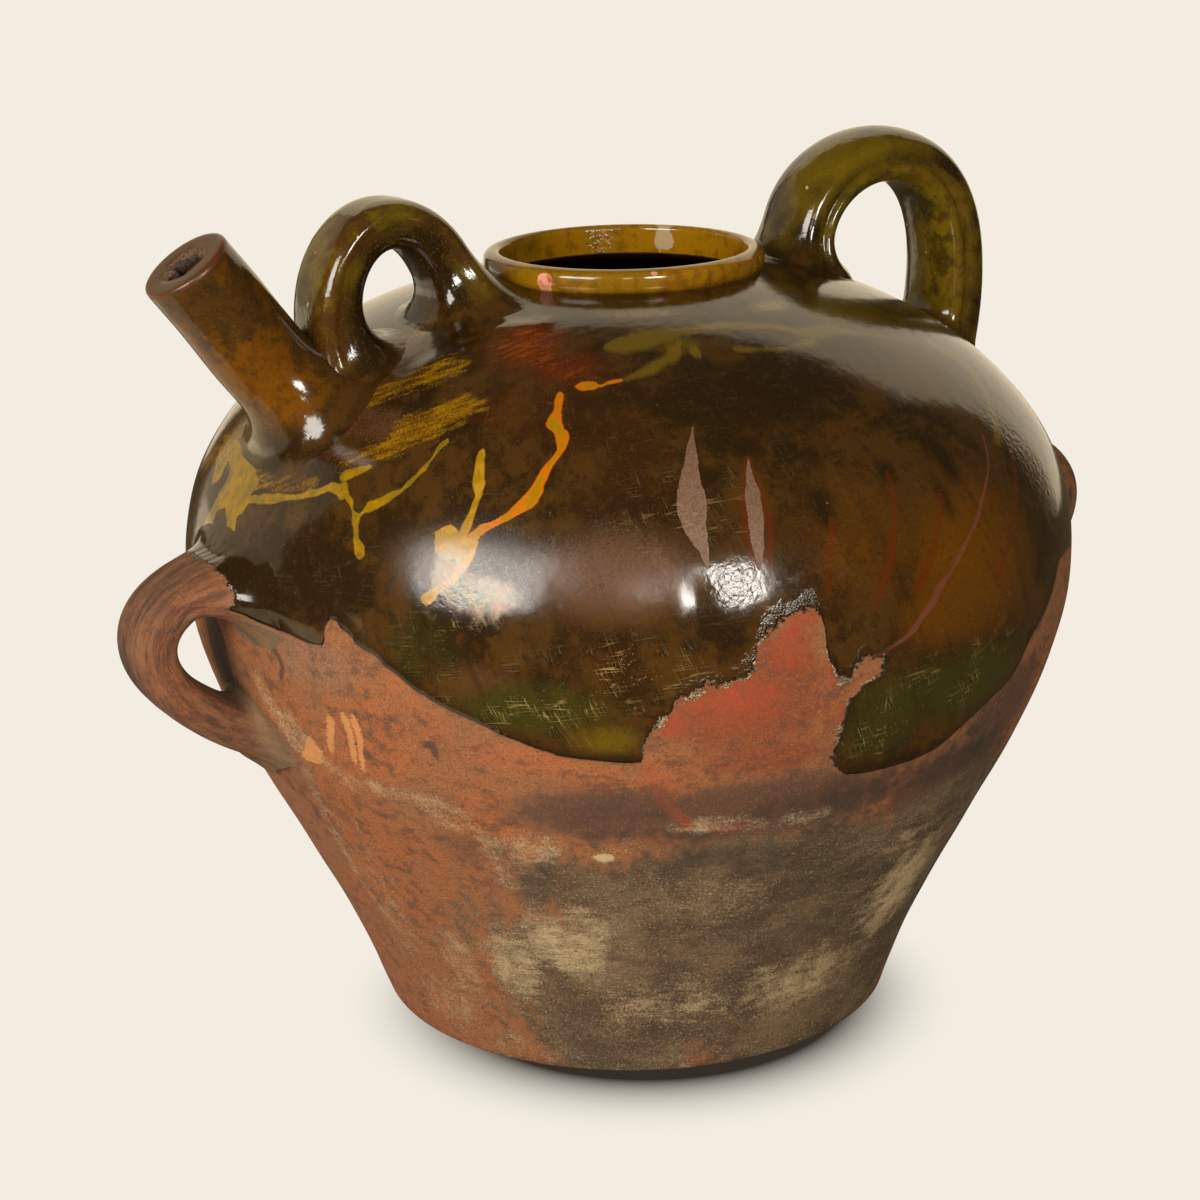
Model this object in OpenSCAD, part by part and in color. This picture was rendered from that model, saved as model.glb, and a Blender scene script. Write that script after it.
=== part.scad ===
// A big-bellied country jug of red earthenware: one fired piece with a tube
// spout, two strap handles over the shoulder and two small lugs at the belly.
// The base stands on z = 0. The spout points towards -X, and the spout, the
// handles and the lugs all lie in the plane y = 0.

/* [Body] */
// Diameter of the base
foot_d = 223; // [180:1:260]
// Diameter at the widest ring of the belly
belly_d = 380; // [350:1:420]
// Height of the widest ring
belly_h = 201; // [180:1:225]
// Height at which the shoulder meets the collar
neck_h = 318; // [300:1:345]
// Outward lean of the flank where it leaves the base, in degrees
foot_lean = 17; // [5:1:25]
// Length over which the flank keeps that lean
foot_pull = 84; // [50:1:100]
// Length over which the flank is upright below the belly
belly_pull_low = 65; // [30:1:80]
// Length over which the wall is upright above the belly
belly_pull_high = 56; // [35:1:70]
// Fall of the shoulder where it leaves the collar, in degrees
shoulder_fall = 11; // [5:1:20]
// Length over which the shoulder keeps that fall
shoulder_pull = 87; // [60:1:100]
// Thickness of the thrown wall
wall = 6.5; // [5:0.5:9]
// Thickness of the floor
floor_t = 8; // [6:0.5:12]
// Rounding of the bottom corner
foot_round = 3; // [1:0.5:5]

/* [Mouth] */
// Clear diameter of the mouth
mouth_d = 104; // [90:1:112]
// Thickness of the collar at its fullest
collar_t = 7.3; // [6:0.1:9]
// Height of the collar above the shoulder
collar_h = 9.5; // [7:0.5:16]
// Thickness of the lip at the top
lip_t = 4.4; // [3:0.1:5]

/* [Spout] */
// Distance from the jug's axis to where the spout leaves the shoulder
spout_root_r = 150.5; // [142:0.5:158]
// Rise of the spout above the level, in degrees
spout_rise = 53.5; // [48:0.5:60]
// Length of the spout above the shoulder
spout_len = 78; // [60:1:95]
// Outer diameter at the tip
spout_tip_d = 37.5; // [34:0.5:42]
// Outer diameter above the root
spout_root_d = 38; // [36:0.5:44]
// Diameter of the pouring bore
spout_bore = 17; // [12:0.5:22]
// Radius of the clay smoothed round the root
spout_fillet = 12; // [8:1:16]
// How deep that smoothed clay is bedded in the shoulder
spout_bed = 4; // [3:0.5:6]
// Tilt of the cut end from square, in degrees
spout_cut = 2; // [0:1:12]

/* [Spout handle] */
// Distance from the jug's axis to the outer foot
front_foot_r = 133; // [126:1:137]
// Distance from the jug's axis to the foot by the collar
front_neck_r = 80; // [74:1:86]
// Height that the pull of the strap reaches over the outer foot
front_foot_pull = 66; // [58:1:80]
// Height that the pull of the strap reaches over the foot by the collar
front_neck_pull = 69; // [62:1:84]
// Lean of the strap at the outer foot, in degrees
front_foot_lean = 18; // [8:1:24]
// Lean of the strap at the foot by the collar, in degrees
front_neck_lean = 11; // [4:1:18]
// Width of the strap
front_w = 33; // [26:1:38]
// Thickness of the strap
front_t = 21; // [16:0.5:24]

/* [Rear handle] */
// Distance from the jug's axis to the outer foot
rear_foot_r = 163.5; // [158:0.5:168]
// Distance from the jug's axis to the foot by the collar
rear_neck_r = 91; // [86:0.5:96]
// Height that the pull of the strap reaches over the outer foot
rear_foot_pull = 135; // [120:1:150]
// Height that the pull of the strap reaches over the foot by the collar
rear_neck_pull = 62; // [54:1:72]
// Lean of the strap at the outer foot, in degrees
rear_foot_lean = 14; // [8:0.5:18]
// Lean of the strap towards the mouth at the foot by the collar, in degrees
rear_neck_lean = 23; // [14:1:32]
// Width of the strap
rear_w = 39; // [32:1:44]
// Thickness of the strap at the outer foot
rear_t = 27; // [20:0.5:30]
// Thickness of the strap at the foot by the collar
rear_neck_t = 22; // [17:0.5:26]

/* [Lugs] */
// Height of the upper root above the belly ring
lug_top = 15; // [8:1:22]
// Depth of the lower root below the belly ring
lug_drop = 56; // [48:1:62]
// How far the pull of the loop reaches out at the upper root
lug_top_pull = 45; // [38:1:54]
// How far the pull of the loop reaches out at the lower root
lug_low_pull = 77; // [66:1:84]
// Droop of the loop at the upper root, in degrees
lug_top_droop = 3; // [0:1:12]
// Climb of the loop from the lower root, in degrees
lug_low_climb = 24; // [16:1:32]
// How far the rear lug stands round from the rear handle, in degrees
rear_lug_turn = 2.5; // [-6:0.5:6]
// Width of the loop
lug_w = 36; // [28:1:40]
// Thickness of the loop
lug_t = 18.5; // [14:0.5:21]

/* [Hidden] */

glaze = "#4a3410";
clay = "#a85c38";

curve_steps = 22;       // pieces in each curve of the outline
round_faces = 96;       // smoothness of what is turned
strap_rings = 30;       // cross-sections along a handle
strap_sides = 20;       // points round a handle's cross-section
root_sink = 4;          // how deep a root is bedded in the wall
root_spread = 1.16;     // how much wider a strap is at its roots
root_reach = 6;         // how soon that widening fades away from a root
strap_square = 0.78;    // 1 is an oval cross-section, less is nearer a box
strap_taper = 0.10;     // how much narrower the inner face is than the outer face
side_groove = 0.10;     // depth of the finger groove along a strap's edge, by width
groove_span = 0.35;     // half the breadth of that groove, by thickness
collar_undercut = 1.3;  // how far the collar stands out over its own root
collar_swell = [0.35, 0.55]; // where the collar is fullest, by its height
eps = 0.01;

foot_r = foot_d / 2;
belly_r = belly_d / 2;
mouth_r = mouth_d / 2;
collar_r = mouth_r + collar_t;
neck_r = collar_r - collar_undercut;
rim_h = neck_h + collar_h;

// A point of the cubic curve through a and d, pulled towards b and c.
function bez(a, b, c, d, t) =
    pow(1 - t, 3) * a + 3 * pow(1 - t, 2) * t * b
    + 3 * (1 - t) * t * t * c + pow(t, 3) * d;
// The direction of the same curve.
function bez_dir(a, b, c, d, t) =
    let (v = pow(1 - t, 2) * (b - a) + 2 * (1 - t) * t * (c - b) + t * t * (d - c))
    v / norm(v);

// The flank from the base to the widest ring.
flank = [
    [foot_r, 0],
    [foot_r + foot_pull * sin(foot_lean), foot_pull * cos(foot_lean)],
    [belly_r, belly_h - belly_pull_low],
    [belly_r, belly_h]];
// The shoulder from the widest ring to the collar.
shoulder = [
    [belly_r, belly_h],
    [belly_r, belly_h + belly_pull_high],
    [neck_r + shoulder_pull * cos(shoulder_fall), neck_h - shoulder_pull * sin(shoulder_fall)],
    [neck_r, neck_h]];

function along(c, t) = bez(c[0], c[1], c[2], c[3], t);
function heading(c, t) = bez_dir(c[0], c[1], c[2], c[3], t);
function outer(c) = [for (i = [0:curve_steps]) along(c, i / curve_steps)];
// The same curve moved inwards by the wall.
function inner(c) = [for (i = [0:curve_steps])
    let (p = along(c, i / curve_steps), v = heading(c, i / curve_steps))
    p + wall * [-v.y, v.x]];

// Height of the shoulder at a distance from the axis.
shoulder_table = [for (i = [curve_steps:-1:0]) along(shoulder, i / curve_steps)];
function shoulder_z(r) = lookup(r, shoulder_table);
// Distance of the wall from the axis at a height below the widest ring, and above it.
flank_table = [for (p = outer(flank)) [p.y, p.x]];
crown_table = [for (p = outer(shoulder)) [p.y, p.x]];
function wall_r(z) = z < belly_h ? lookup(z, flank_table) : lookup(z, crown_table);

// Half of the body's outline, turned about the axis.
function foot_corner() =
    let (cx = foot_r - foot_round / tan((90 + foot_lean) / 2))
    [for (a = [-90:(90 - foot_lean) / 4:-foot_lean])
        [cx + foot_round * cos(a), foot_round + foot_round * sin(a)]];
function collar_outline() =
    let (lip = lip_t / 2, lip_x = mouth_r + lip)
    concat(
        [[neck_r, neck_h]],
        [for (h = collar_swell) [collar_r, neck_h + collar_h * h]],
        [for (a = [0:30:180]) [lip_x + lip * cos(a), rim_h - lip + lip * sin(a)]]);

module body_clay() {
    lower = [for (p = outer(flank)) if (p.y > 2 * foot_round) p];
    upper = [for (p = outer(shoulder)) if (p.y > belly_h + eps && p.y < neck_h - eps) p];
    color(clay) rotate_extrude($fn = round_faces)
        polygon(concat([[0, 0]], foot_corner(), lower, upper, collar_outline(), [[0, rim_h - lip_t]]));
}

// The hollow inside the wall, up through the mouth.
module hollow() {
    in_flank = [for (p = inner(flank)) if (p.y > floor_t + eps && p.y < belly_h - eps) p];
    in_shoulder = [for (p = inner(shoulder)) if (p.x > mouth_r + eps) p];
    neck_foot = in_shoulder[len(in_shoulder) - 1].y;
    floor_r = lookup(floor_t, [for (p = inner(flank)) [p.y, p.x]]);
    rotate_extrude($fn = round_faces)
        polygon(concat([[0, floor_t], [floor_r, floor_t]], in_flank, in_shoulder,
            [[mouth_r, neck_foot], [mouth_r, rim_h + lip_t], [0, rim_h + lip_t]]));
}

// Stands a turned part on the shoulder along the spout's axis.
module on_spout_axis() {
    translate([-spout_root_r, 0, shoulder_z(spout_root_r)])
        rotate([0, spout_rise - 90, 0]) children();
}

module spout_clay() {
    root = spout_root_d / 2;
    sink = wall + root_sink;
    spare = spout_tip_d;
    fillet = [for (a = [15:15:90])
        [root + spout_fillet * (1 - sin(a)), spout_fillet * (1 - cos(a)) - spout_bed]];
    color(glaze) difference() {
        on_spout_axis() rotate_extrude($fn = round_faces / 2)
            polygon(concat([[0, -sink], [root + spout_fillet, -sink]], fillet,
                [[spout_tip_d / 2, spout_len + spare], [0, spout_len + spare]]));
        on_spout_axis() translate([0, 0, spout_len]) rotate([0, spout_cut, 0])
            translate([-spare, -spare, 0]) cube([2 * spare, 2 * spare, 2 * spare]);
    }
}

// The pouring bore, from the hollow out past the cut end.
module spout_way() {
    below = 3 * wall;
    on_spout_axis() translate([0, 0, -below])
        cylinder(d = spout_bore, h = below + spout_len + spout_tip_d, $fn = 32);
}

// A value squeezed towards a rounded box, sign kept.
function squeeze(v) = sign(v) * pow(abs(v), strap_square);
// One cross-section of a strap: x across the thickness, outwards, and y across the width.
function strap_section(w, t, groove) = [for (k = [0:strap_sides - 1])
    let (a = 360 * k / strap_sides, out = squeeze(cos(a)), side = squeeze(sin(a)),
         narrow = 1 - strap_taper * (1 - out) / 2,
         pinch = 1 - groove * exp(-pow(out / groove_span, 2)))
    [t / 2 * out, w / 2 * side * narrow * pinch]];

// A strap of clay pulled along the curve c in the plane y = 0, spread where it is rooted.
// It is w wide, and its thickness goes from t0 to t1.
module strap(c, w, t0, t1, groove) {
    rings = [for (i = [0:strap_rings])
        let (f = i / strap_rings, p = along(c, f), v = heading(c, f),
             rooted = pow(abs(2 * f - 1), root_reach), s = 1 + (root_spread - 1) * rooted,
             t = t0 + (t1 - t0) * f)
        [for (q = strap_section(w * s, t * s, groove * (1 - rooted)))
            [p.x - v.y * q.x, q.y, p.y + v.x * q.x]]];
    n = strap_sides;
    last = strap_rings * n;
    polyhedron(
        points = [for (ring = rings) for (p = ring) p],
        faces = concat(
            [[for (k = [n - 1:-1:0]) k]],
            [for (i = [0:strap_rings - 1]) for (k = [0:n - 1])
                let (a = i * n + k, b = i * n + (k + 1) % n) each [[a, b + n, a + n], [a, b, b + n]]],
            [[for (k = [0:n - 1]) last + k]]),
        convexity = 6);
}

// The curve of a handle from its outer foot on the shoulder to its foot by the collar,
// on the side of the spout.
function handle_curve(foot_at, neck_at, foot_pull, neck_pull, foot_lean, neck_lean) =
    let (a = [-foot_at, shoulder_z(foot_at) - root_sink], d = [-neck_at, shoulder_z(neck_at) - root_sink])
    [a, a + foot_pull * [-sin(foot_lean), cos(foot_lean)],
        d + neck_pull * [-sin(neck_lean), cos(neck_lean)], d];

module spout_handle() {
    color(glaze) strap(handle_curve(front_foot_r, front_neck_r, front_foot_pull, front_neck_pull,
        front_foot_lean, front_neck_lean), front_w, front_t, front_t, side_groove * 0.6);
}

module rear_handle() {
    color(glaze) mirror([1, 0, 0]) strap(handle_curve(rear_foot_r, rear_neck_r, rear_foot_pull,
        rear_neck_pull, rear_foot_lean, -rear_neck_lean), rear_w, rear_t, rear_neck_t, side_groove);
}

// A loop at the belly, on the side of the spout.
module lug() {
    top_z = belly_h + lug_top;
    low_z = belly_h - lug_drop;
    a = [-wall_r(low_z) + root_sink, low_z];
    d = [-wall_r(top_z) + root_sink, top_z];
    color(clay) strap(
        [a, a + lug_low_pull * [-cos(lug_low_climb), sin(lug_low_climb)],
            d + lug_top_pull * [-cos(lug_top_droop), -sin(lug_top_droop)], d],
        lug_w, lug_t, lug_t, side_groove);
}

module jug() {
    difference() {
        union() {
            body_clay();
            spout_clay();
            spout_handle();
            rear_handle();
            lug();
            rotate([0, 0, -rear_lug_turn]) mirror([1, 0, 0]) lug();
        }
        color(clay) hollow();
        color(glaze) spout_way();
    }
}

jug();
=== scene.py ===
import math

import bpy
import numpy as np
from bpy.props import FloatProperty, FloatVectorProperty, PointerProperty
from mathutils import Matrix, Vector


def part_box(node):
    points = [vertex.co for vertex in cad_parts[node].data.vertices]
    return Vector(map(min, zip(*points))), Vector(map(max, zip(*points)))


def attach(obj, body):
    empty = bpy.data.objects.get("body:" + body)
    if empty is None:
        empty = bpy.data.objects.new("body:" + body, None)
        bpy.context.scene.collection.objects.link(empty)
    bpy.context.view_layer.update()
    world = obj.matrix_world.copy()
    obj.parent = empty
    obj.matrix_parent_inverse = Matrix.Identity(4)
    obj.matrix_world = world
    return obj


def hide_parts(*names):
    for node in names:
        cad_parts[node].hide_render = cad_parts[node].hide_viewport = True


bl_info = {
    "name": "Country jug looks",
    "version": (1, 0, 0),
    "blender": (4, 5, 0),
    "location": "3D View > Sidebar > Jug",
    "description": "Models and finishes the thrown body, spout, handles and lugs of a country jug",
    "category": "Object",
}

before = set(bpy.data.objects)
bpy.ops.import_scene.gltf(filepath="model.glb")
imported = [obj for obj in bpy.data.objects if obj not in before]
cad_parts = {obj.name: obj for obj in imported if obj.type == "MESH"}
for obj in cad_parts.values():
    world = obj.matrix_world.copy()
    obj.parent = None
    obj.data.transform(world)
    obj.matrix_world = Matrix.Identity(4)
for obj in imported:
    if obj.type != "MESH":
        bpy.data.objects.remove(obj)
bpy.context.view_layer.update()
JUG_LOW, JUG_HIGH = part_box("jug")
MM = 0.001

# Curves of the thrown body: how far each end keeps its direction
FOOT_LEAN = math.radians(17)
FOOT_PULL = 84 * MM
BELLY_PULL_LOW = 65 * MM
BELLY_PULL_HIGH = 56 * MM
SHOULDER_FALL = math.radians(11)
SHOULDER_PULL = 87 * MM
FOOT_ROUND = 3 * MM
COLLAR_UNDERCUT = 1.3 * MM

# How finely the body is divided
ROUND_STEPS = 384
FLANK_STEPS = 74
INNER_STEPS = 22

# Where the spout stands on the shoulder, how it rises, how its end is cut and how far it is sunk
SPOUT_ROOT_R = 150.5 * MM
SPOUT_RISE = math.radians(53.5)
SPOUT_CUT = math.radians(2)
SPOUT_SUNK = 16 * MM
SPOUT_STEPS = 64
BORE_STEPS = 32
ROOT_SINK = 4 * MM

# The feet of the handles, the outer one first: distance from the axis, how far the curve is pulled
# there and how far it leans from upright
FRONT_FEET = ((133 * MM, 66 * MM, math.radians(18)), (80 * MM, 69 * MM, math.radians(11)))
REAR_FEET = ((163.5 * MM, 135 * MM, math.radians(14)), (91 * MM, 62 * MM, math.radians(-23)))

# The lugs: how far their ends lie above and below the widest ring, how far their curve is pulled
# there, and how it droops and climbs
LUG_TOP, LUG_DROP = 15 * MM, 56 * MM
LUG_TOP_PULL, LUG_LOW_PULL = 45 * MM, 77 * MM
LUG_TOP_DROOP, LUG_LOW_CLIMB = math.radians(3), math.radians(24)
REAR_LUG_TURN = math.radians(-2.5)

# Roots: how far the clay is spread over the wall, how high that starts, and its webs, as direction,
# extra reach and narrowness
FRONT_ROOTS = (
    (14 * MM, 21 * MM, (((1, 0, 0), 8 * MM, 2),)),
    (13 * MM, 16 * MM, (((1, -0.2, 0), 9 * MM, 2), ((0, -1, 0), 6 * MM, 2))))
REAR_ROOTS = (
    (8 * MM, 11 * MM, ()),
    (11 * MM, 17 * MM, (((1, 0, 0), 12 * MM, 3), ((-1, 0, 0), 5 * MM, 2))))
SPOUT_ROOT = (13 * MM, 19 * MM, tuple((way, 8 * MM, 2) for way in ((1, 0, 0), (0, -1, 0), (0, 1, 0))))

# Half cross-sections of the straps, outer face first: across the thickness, along the width,
# both as parts of half the thickness and half the width
FRONT_SECTION = (
    (1.00, 0.00), (1.00, 0.25), (0.98, 0.48), (0.91, 0.70), (0.78, 0.87), (0.60, 0.965), (0.44, 0.985),
    (0.28, 0.955), (0.08, 0.945), (-0.20, 0.945), (-0.48, 0.92), (-0.72, 0.82), (-0.88, 0.64),
    (-0.96, 0.42), (-0.99, 0.20), (-1.00, 0.00))
REAR_SECTION = (
    (1.00, 0.00), (0.99, 0.22), (0.95, 0.45), (0.87, 0.66), (0.75, 0.83), (0.60, 0.94), (0.46, 0.985),
    (0.34, 0.98), (0.24, 0.945), (0.16, 0.90), (0.10, 0.885), (0.03, 0.90), (-0.08, 0.935),
    (-0.24, 0.965), (-0.42, 0.96), (-0.60, 0.90), (-0.76, 0.77), (-0.88, 0.58), (-0.95, 0.38),
    (-0.99, 0.18), (-1.00, 0.00))
LUG_SECTION = (
    (1.00, 0.00), (0.97, 0.12), (1.00, 0.26), (0.95, 0.42), (0.97, 0.56), (0.86, 0.74), (0.70, 0.90),
    (0.45, 0.985), (0.15, 0.97), (-0.15, 0.955), (-0.45, 0.96), (-0.70, 0.88), (-0.86, 0.70),
    (-0.95, 0.48), (-0.99, 0.24), (-1.00, 0.00))

# How rings lie along a strap: fine near the roots, coarser over the arch
ROOT_RING_STEP = 0.4 * MM
ARCH_RING_STEP = 1.5 * MM
ROOT_RING_SPAN = 30 * MM
SEAT_DEPTH = 2.6 * MM

# The view: where the camera stands, how it is turned, dips and rolls, its lens and its clip range
CAMERA_PLACE = (-592.2 * MM, -999.8 * MM, 531.6 * MM)
CAMERA_TURN = math.radians(30)
CAMERA_DIP = math.radians(17.202)
CAMERA_ROLL = math.radians(-1.199)
CAMERA_LENS = 83.5
CAMERA_SENSOR = 36
CAMERA_CLIP = (0.05, 50)

# Places on the jug are given in degrees: round from the front, where the camera stands, to the
# right, and up from the middle of the belly. Marks were read off the photograph.
BELLY_MIDDLE = 170 * MM
FRONT_TURN = math.radians(120.64)

# The lower edge of the glaze, as round and up, left of the flaked patch and right of it
GLAZE_EDGE_LEFT = (
    (-75, 11.5), (-72.6, 11.4), (-70.6, 10.3), (-64.8, 10.7), (-59.4, 10.6), (-55.1, 10.9), (-52.3, 10.9),
    (-49.0, 10.3), (-46.7, 9.9), (-43.5, 9.7), (-40.5, 9.4), (-38.9, 9.4), (-37.9, 10.0), (-37.5, 12.2),
    (-36.7, 12.7), (-35.6, 12.1), (-33.8, 11.2), (-32.7, 10.3), (-31.1, 9.8), (-29.1, 8.5),
    (-26.4, 6.8), (-23.6, 5.4), (-21.2, 4.2))
GLAZE_EDGE_RIGHT = (
    (-21.2, 4.2), (-17.6, 2.9), (-15.3, 1.8), (-11.9, 0.5), (-8.4, -0.7), (-3.8, -1.3), (0.4, -1.6),
    (1.2, -1.5), (4, -4.0), (22, -4.5), (25.0, -4.9), (25.8, -5.6), (27.7, -6.6), (30.8, -7.0),
    (35.5, -7.0), (40.5, -6.5), (45.3, -4.4), (50.5, -2.0), (54.7, -0.4), (58.2, 3.8), (63.8, 7.3),
    (67.9, 11.2))
# The patch where the glaze flaked off: its upper edge, as round and up, and its right side
PATCH_TOP = (
    (0.4, -6), (1.1, -1.2), (1.6, 1.7), (2.4, 3.0), (4.0, 4.3), (5.1, 6.3), (7.1, 7.2), (8.6, 7.7),
    (11.4, 8.1), (13.2, 8.9), (14.1, 10.0), (14.3, 11.6), (15.1, 13.0), (16.3, 13.9), (18.9, 14.7),
    (20.6, 15.5), (21.5, 15.2), (22.2, 14.1), (22.7, 10.6), (23.3, 8.5), (25.2, 6.9), (26.5, 7.6),
    (27.8, 8.8), (30.2, 8.6), (31.2, 9.2))
PATCH_SIDE = (
    (-7.5, 27.0), (-6.3, 26.3), (-4.2, 24.9), (-1.7, 24.5), (1.0, 25.0), (3.6, 25.6), (4.7, 26.7),
    (5.7, 28.0), (6.6, 29.8), (8.2, 30.2), (15.8, 31.5))

# Marks that run down: rows of up, left edge and right edge
YELLOW_DRIPS = (
    ((27.8, -40.7, -39.1), (26.9, -39.6, -38.1), (26.2, -38.4, -37.3), (25.4, -37.2, -36.7),
     (25.0, -36.8, -35.4), (24.1, -36.4, -35.2), (23.2, -35.8, -34.9), (22.6, -35.5, -34.6),
     (22.0, -35.4, -34.0), (21.5, -35.2, -33.4), (20.8, -34.9, -33.2), (20.3, -34.3, -33.3)),
    ((27.4, -76.5, -63.1), (26.6, -74.7, -59.0), (25.8, -73.1, -57.4), (25.5, -67.7, -56.8),
     (24.8, -66.0, -56.3), (23.8, -65.5, -56.8), (22.8, -65.7, -56.8), (21.7, -66.3, -57.0)),
    ((22.4, -65.5, -61.6), (21.2, -66.3, -62.1), (19.8, -66.8, -64.5), (18.8, -67.4, -64.9),
     (17.6, -68.1, -65.5), (16.4, -69.3, -66.7), (15.0, -70.7, -68.6)),
    ((22.4, -64.2, -57.0), (21.5, -63.7, -57.1), (20.6, -62.0, -58.3), (19.8, -60.9, -58.0),
     (19.0, -60.4, -57.7), (18.2, -60.5, -57.9), (17.8, -60.0, -58.8)),
    ((26.0, -75.5, -69.0), (24.6, -73.6, -68.4), (23.8, -72.3, -68.0), (23.0, -71.4, -68.4),
     (22.2, -70.5, -69.8)))
ORANGE_DRIPS = (
    ((43.6, -11.9, -10.7), (42.6, -11.8, -10.4), (41.2, -11.6, -10.4), (40.2, -12.0, -10.1),
     (39.3, -12.3, -9.8), (38.4, -12.2, -9.4), (37.8, -11.1, -8.7), (36.9, -10.4, -8.3),
     (35.5, -10.0, -8.6), (34.7, -10.2, -9.1), (33.0, -11.4, -10.1), (32.0, -11.9, -10.4),
     (30.9, -12.4, -10.8), (29.8, -13.0, -10.9), (28.8, -13.8, -11.4), (28.0, -14.5, -11.9),
     (27.4, -15.0, -12.8), (26.6, -16.0, -14.2), (26.0, -17.0, -15.2), (25.6, -18.2, -16.1),
     (25.0, -18.9, -17.1), (24.2, -19.8, -18.1)),)
PALE_DRIPS = (
    ((34.4, -21.2, -20.3), (33.6, -21.2, -20.0), (32.6, -21.1, -19.8), (30.4, -20.7, -19.1),
     (29.4, -20.4, -19.0), (28.8, -20.0, -19.0), (28.0, -20.0, -19.2), (27.0, -20.2, -19.3),
     (26.0, -20.5, -19.4), (25.0, -20.8, -19.6), (24.2, -21.0, -19.8)),
    ((25.1, -22.5, -22.1), (24.9, -23.1, -21.6), (24.5, -23.7, -21.0), (23.8, -24.0, -19.8),
     (23.1, -23.9, -19.7),
     (22.4, -23.7, -19.3), (21.7, -23.0, -20.6), (21.3, -22.4, -21.6)),
    ((23.9, -20.0, -19.6), (23.4, -20.8, -18.3), (22.5, -21.0, -18.5), (21.9, -21.0, -18.6),
     (21.0, -20.7, -19.0), (20.1, -20.8, -19.5), (19.2, -21.6, -20.2), (18.4, -22.6, -21.2),
     (17.6, -23.9, -22.3), (17.0, -24.6, -22.8), (16.4, -24.4, -23.3), (16.1, -24.0, -23.7)))
OLIVE_DRIPS = (
    ((43.0, 70.4, 74.8), (40.9, 71.6, 75.6), (38.8, 72.4, 75.4), (36.5, 71.2, 74.4), (34.7, 69.3, 72.3),
     (33.0, 67.3, 69.6), (31.5, 65.3, 67.4), (30.0, 63.1, 65.6), (29.0, 61.2, 64.2), (28.2, 60.3, 62.6),
     (27.7, 60.8, 61.6)),)
BARE_LENSES = (
    ((37.9, 9.7, 9.9), (36.9, 9.3, 9.8), (35.4, 8.5, 9.8), (33.2, 7.8, 9.7), (32.0, 7.2, 9.6),
     (30.7, 6.7, 9.7), (28.5, 6.2, 9.9), (27.2, 6.2, 9.8), (26.0, 6.5, 9.5), (24.2, 7.3, 9.5),
     (23.2, 7.9, 9.5), (22.4, 8.3, 9.4), (21.0, 8.9, 9.3)),
    ((33.0, 16.6, 16.8), (31.8, 16.0, 16.7), (30.0, 15.5, 16.8), (28.4, 15.0, 17.0), (25.9, 14.8, 16.8),
     (23.6, 14.7, 16.3), (22.4, 14.8, 16.1), (20.4, 15.1, 15.5)))
PINK_RUN = (
    (29.5, 58.3, 58.9), (26.1, 54.9, 55.6), (24.4, 52.3, 53.1), (22.8, 49.9, 50.8), (21.0, 47.6, 48.6),
    (19.5, 45.4, 46.2), (18.0, 43.1, 44.2), (16.4, 41.1, 41.9), (15.2, 38.7, 40.2), (13.8, 37.4, 38.8),
    (12.6, 35.9, 37.5), (11.6, 34.8, 35.9), (10.6, 33.6, 35.0), (9.8, 31.8, 33.2), (9.3, 30.2, 31.6),
    (8.7, 28.5, 30.5))

# Marks that lie level: rows of round, lower edge and upper edge
YELLOW_LINES = (
    ((-58.4, 21.6, 23.0), (-57.6, 22.2, 23.4), (-55.5, 22.9, 24.0), (-53.4, 23.2, 24.6),
     (-51.4, 23.6, 25.0), (-49.6, 24.3, 25.2), (-47.7, 24.8, 25.5), (-46.4, 25.1, 25.9),
     (-45.2, 25.5, 26.7), (-43.9, 25.9, 27.0), (-42.8, 26.4, 27.6), (-41.7, 26.8, 28.1),
     (-40.5, 26.6, 28.1), (-39.7, 26.2, 27.9), (-39.0, 26.3, 27.5)),
    ((-41.2, 28.7, 29.2), (-41.0, 28.5, 29.7), (-40.3, 28.3, 30.0), (-39.5, 28.7, 30.3),
     (-38.7, 29.2, 30.6), (-37.9, 29.7, 30.8), (-37.2, 30.2, 31.0), (-36.8, 30.5, 30.8)),
    ((-35.8, 24.4, 25.0), (-35.3, 24.7, 25.5), (-35.0, 25.1, 26.5), (-34.2, 25.4, 26.9),
     (-33.2, 25.9, 27.4), (-32.4, 26.5, 28.0), (-31.4, 27.3, 28.5), (-30.7, 28.0, 28.8),
     (-30.2, 28.6, 29.7), (-29.4, 29.4, 30.7), (-28.8, 30.5, 31.8), (-28.0, 31.5, 33.0),
     (-27.8, 32.6, 34.5), (-27.4, 33.7, 35.3), (-26.8, 34.6, 35.9)))
ORANGE_LINES = (
    ((-8.8, 45.0, 45.4), (-8.2, 44.6, 45.8), (-7.4, 44.4, 46.1), (-5.4, 44.6, 46.0), (-4.6, 45.0, 45.5),
     (-3.5, 45.4, 46.0), (-2.3, 45.6, 46.4), (-0.9, 45.9, 46.5)),)
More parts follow.
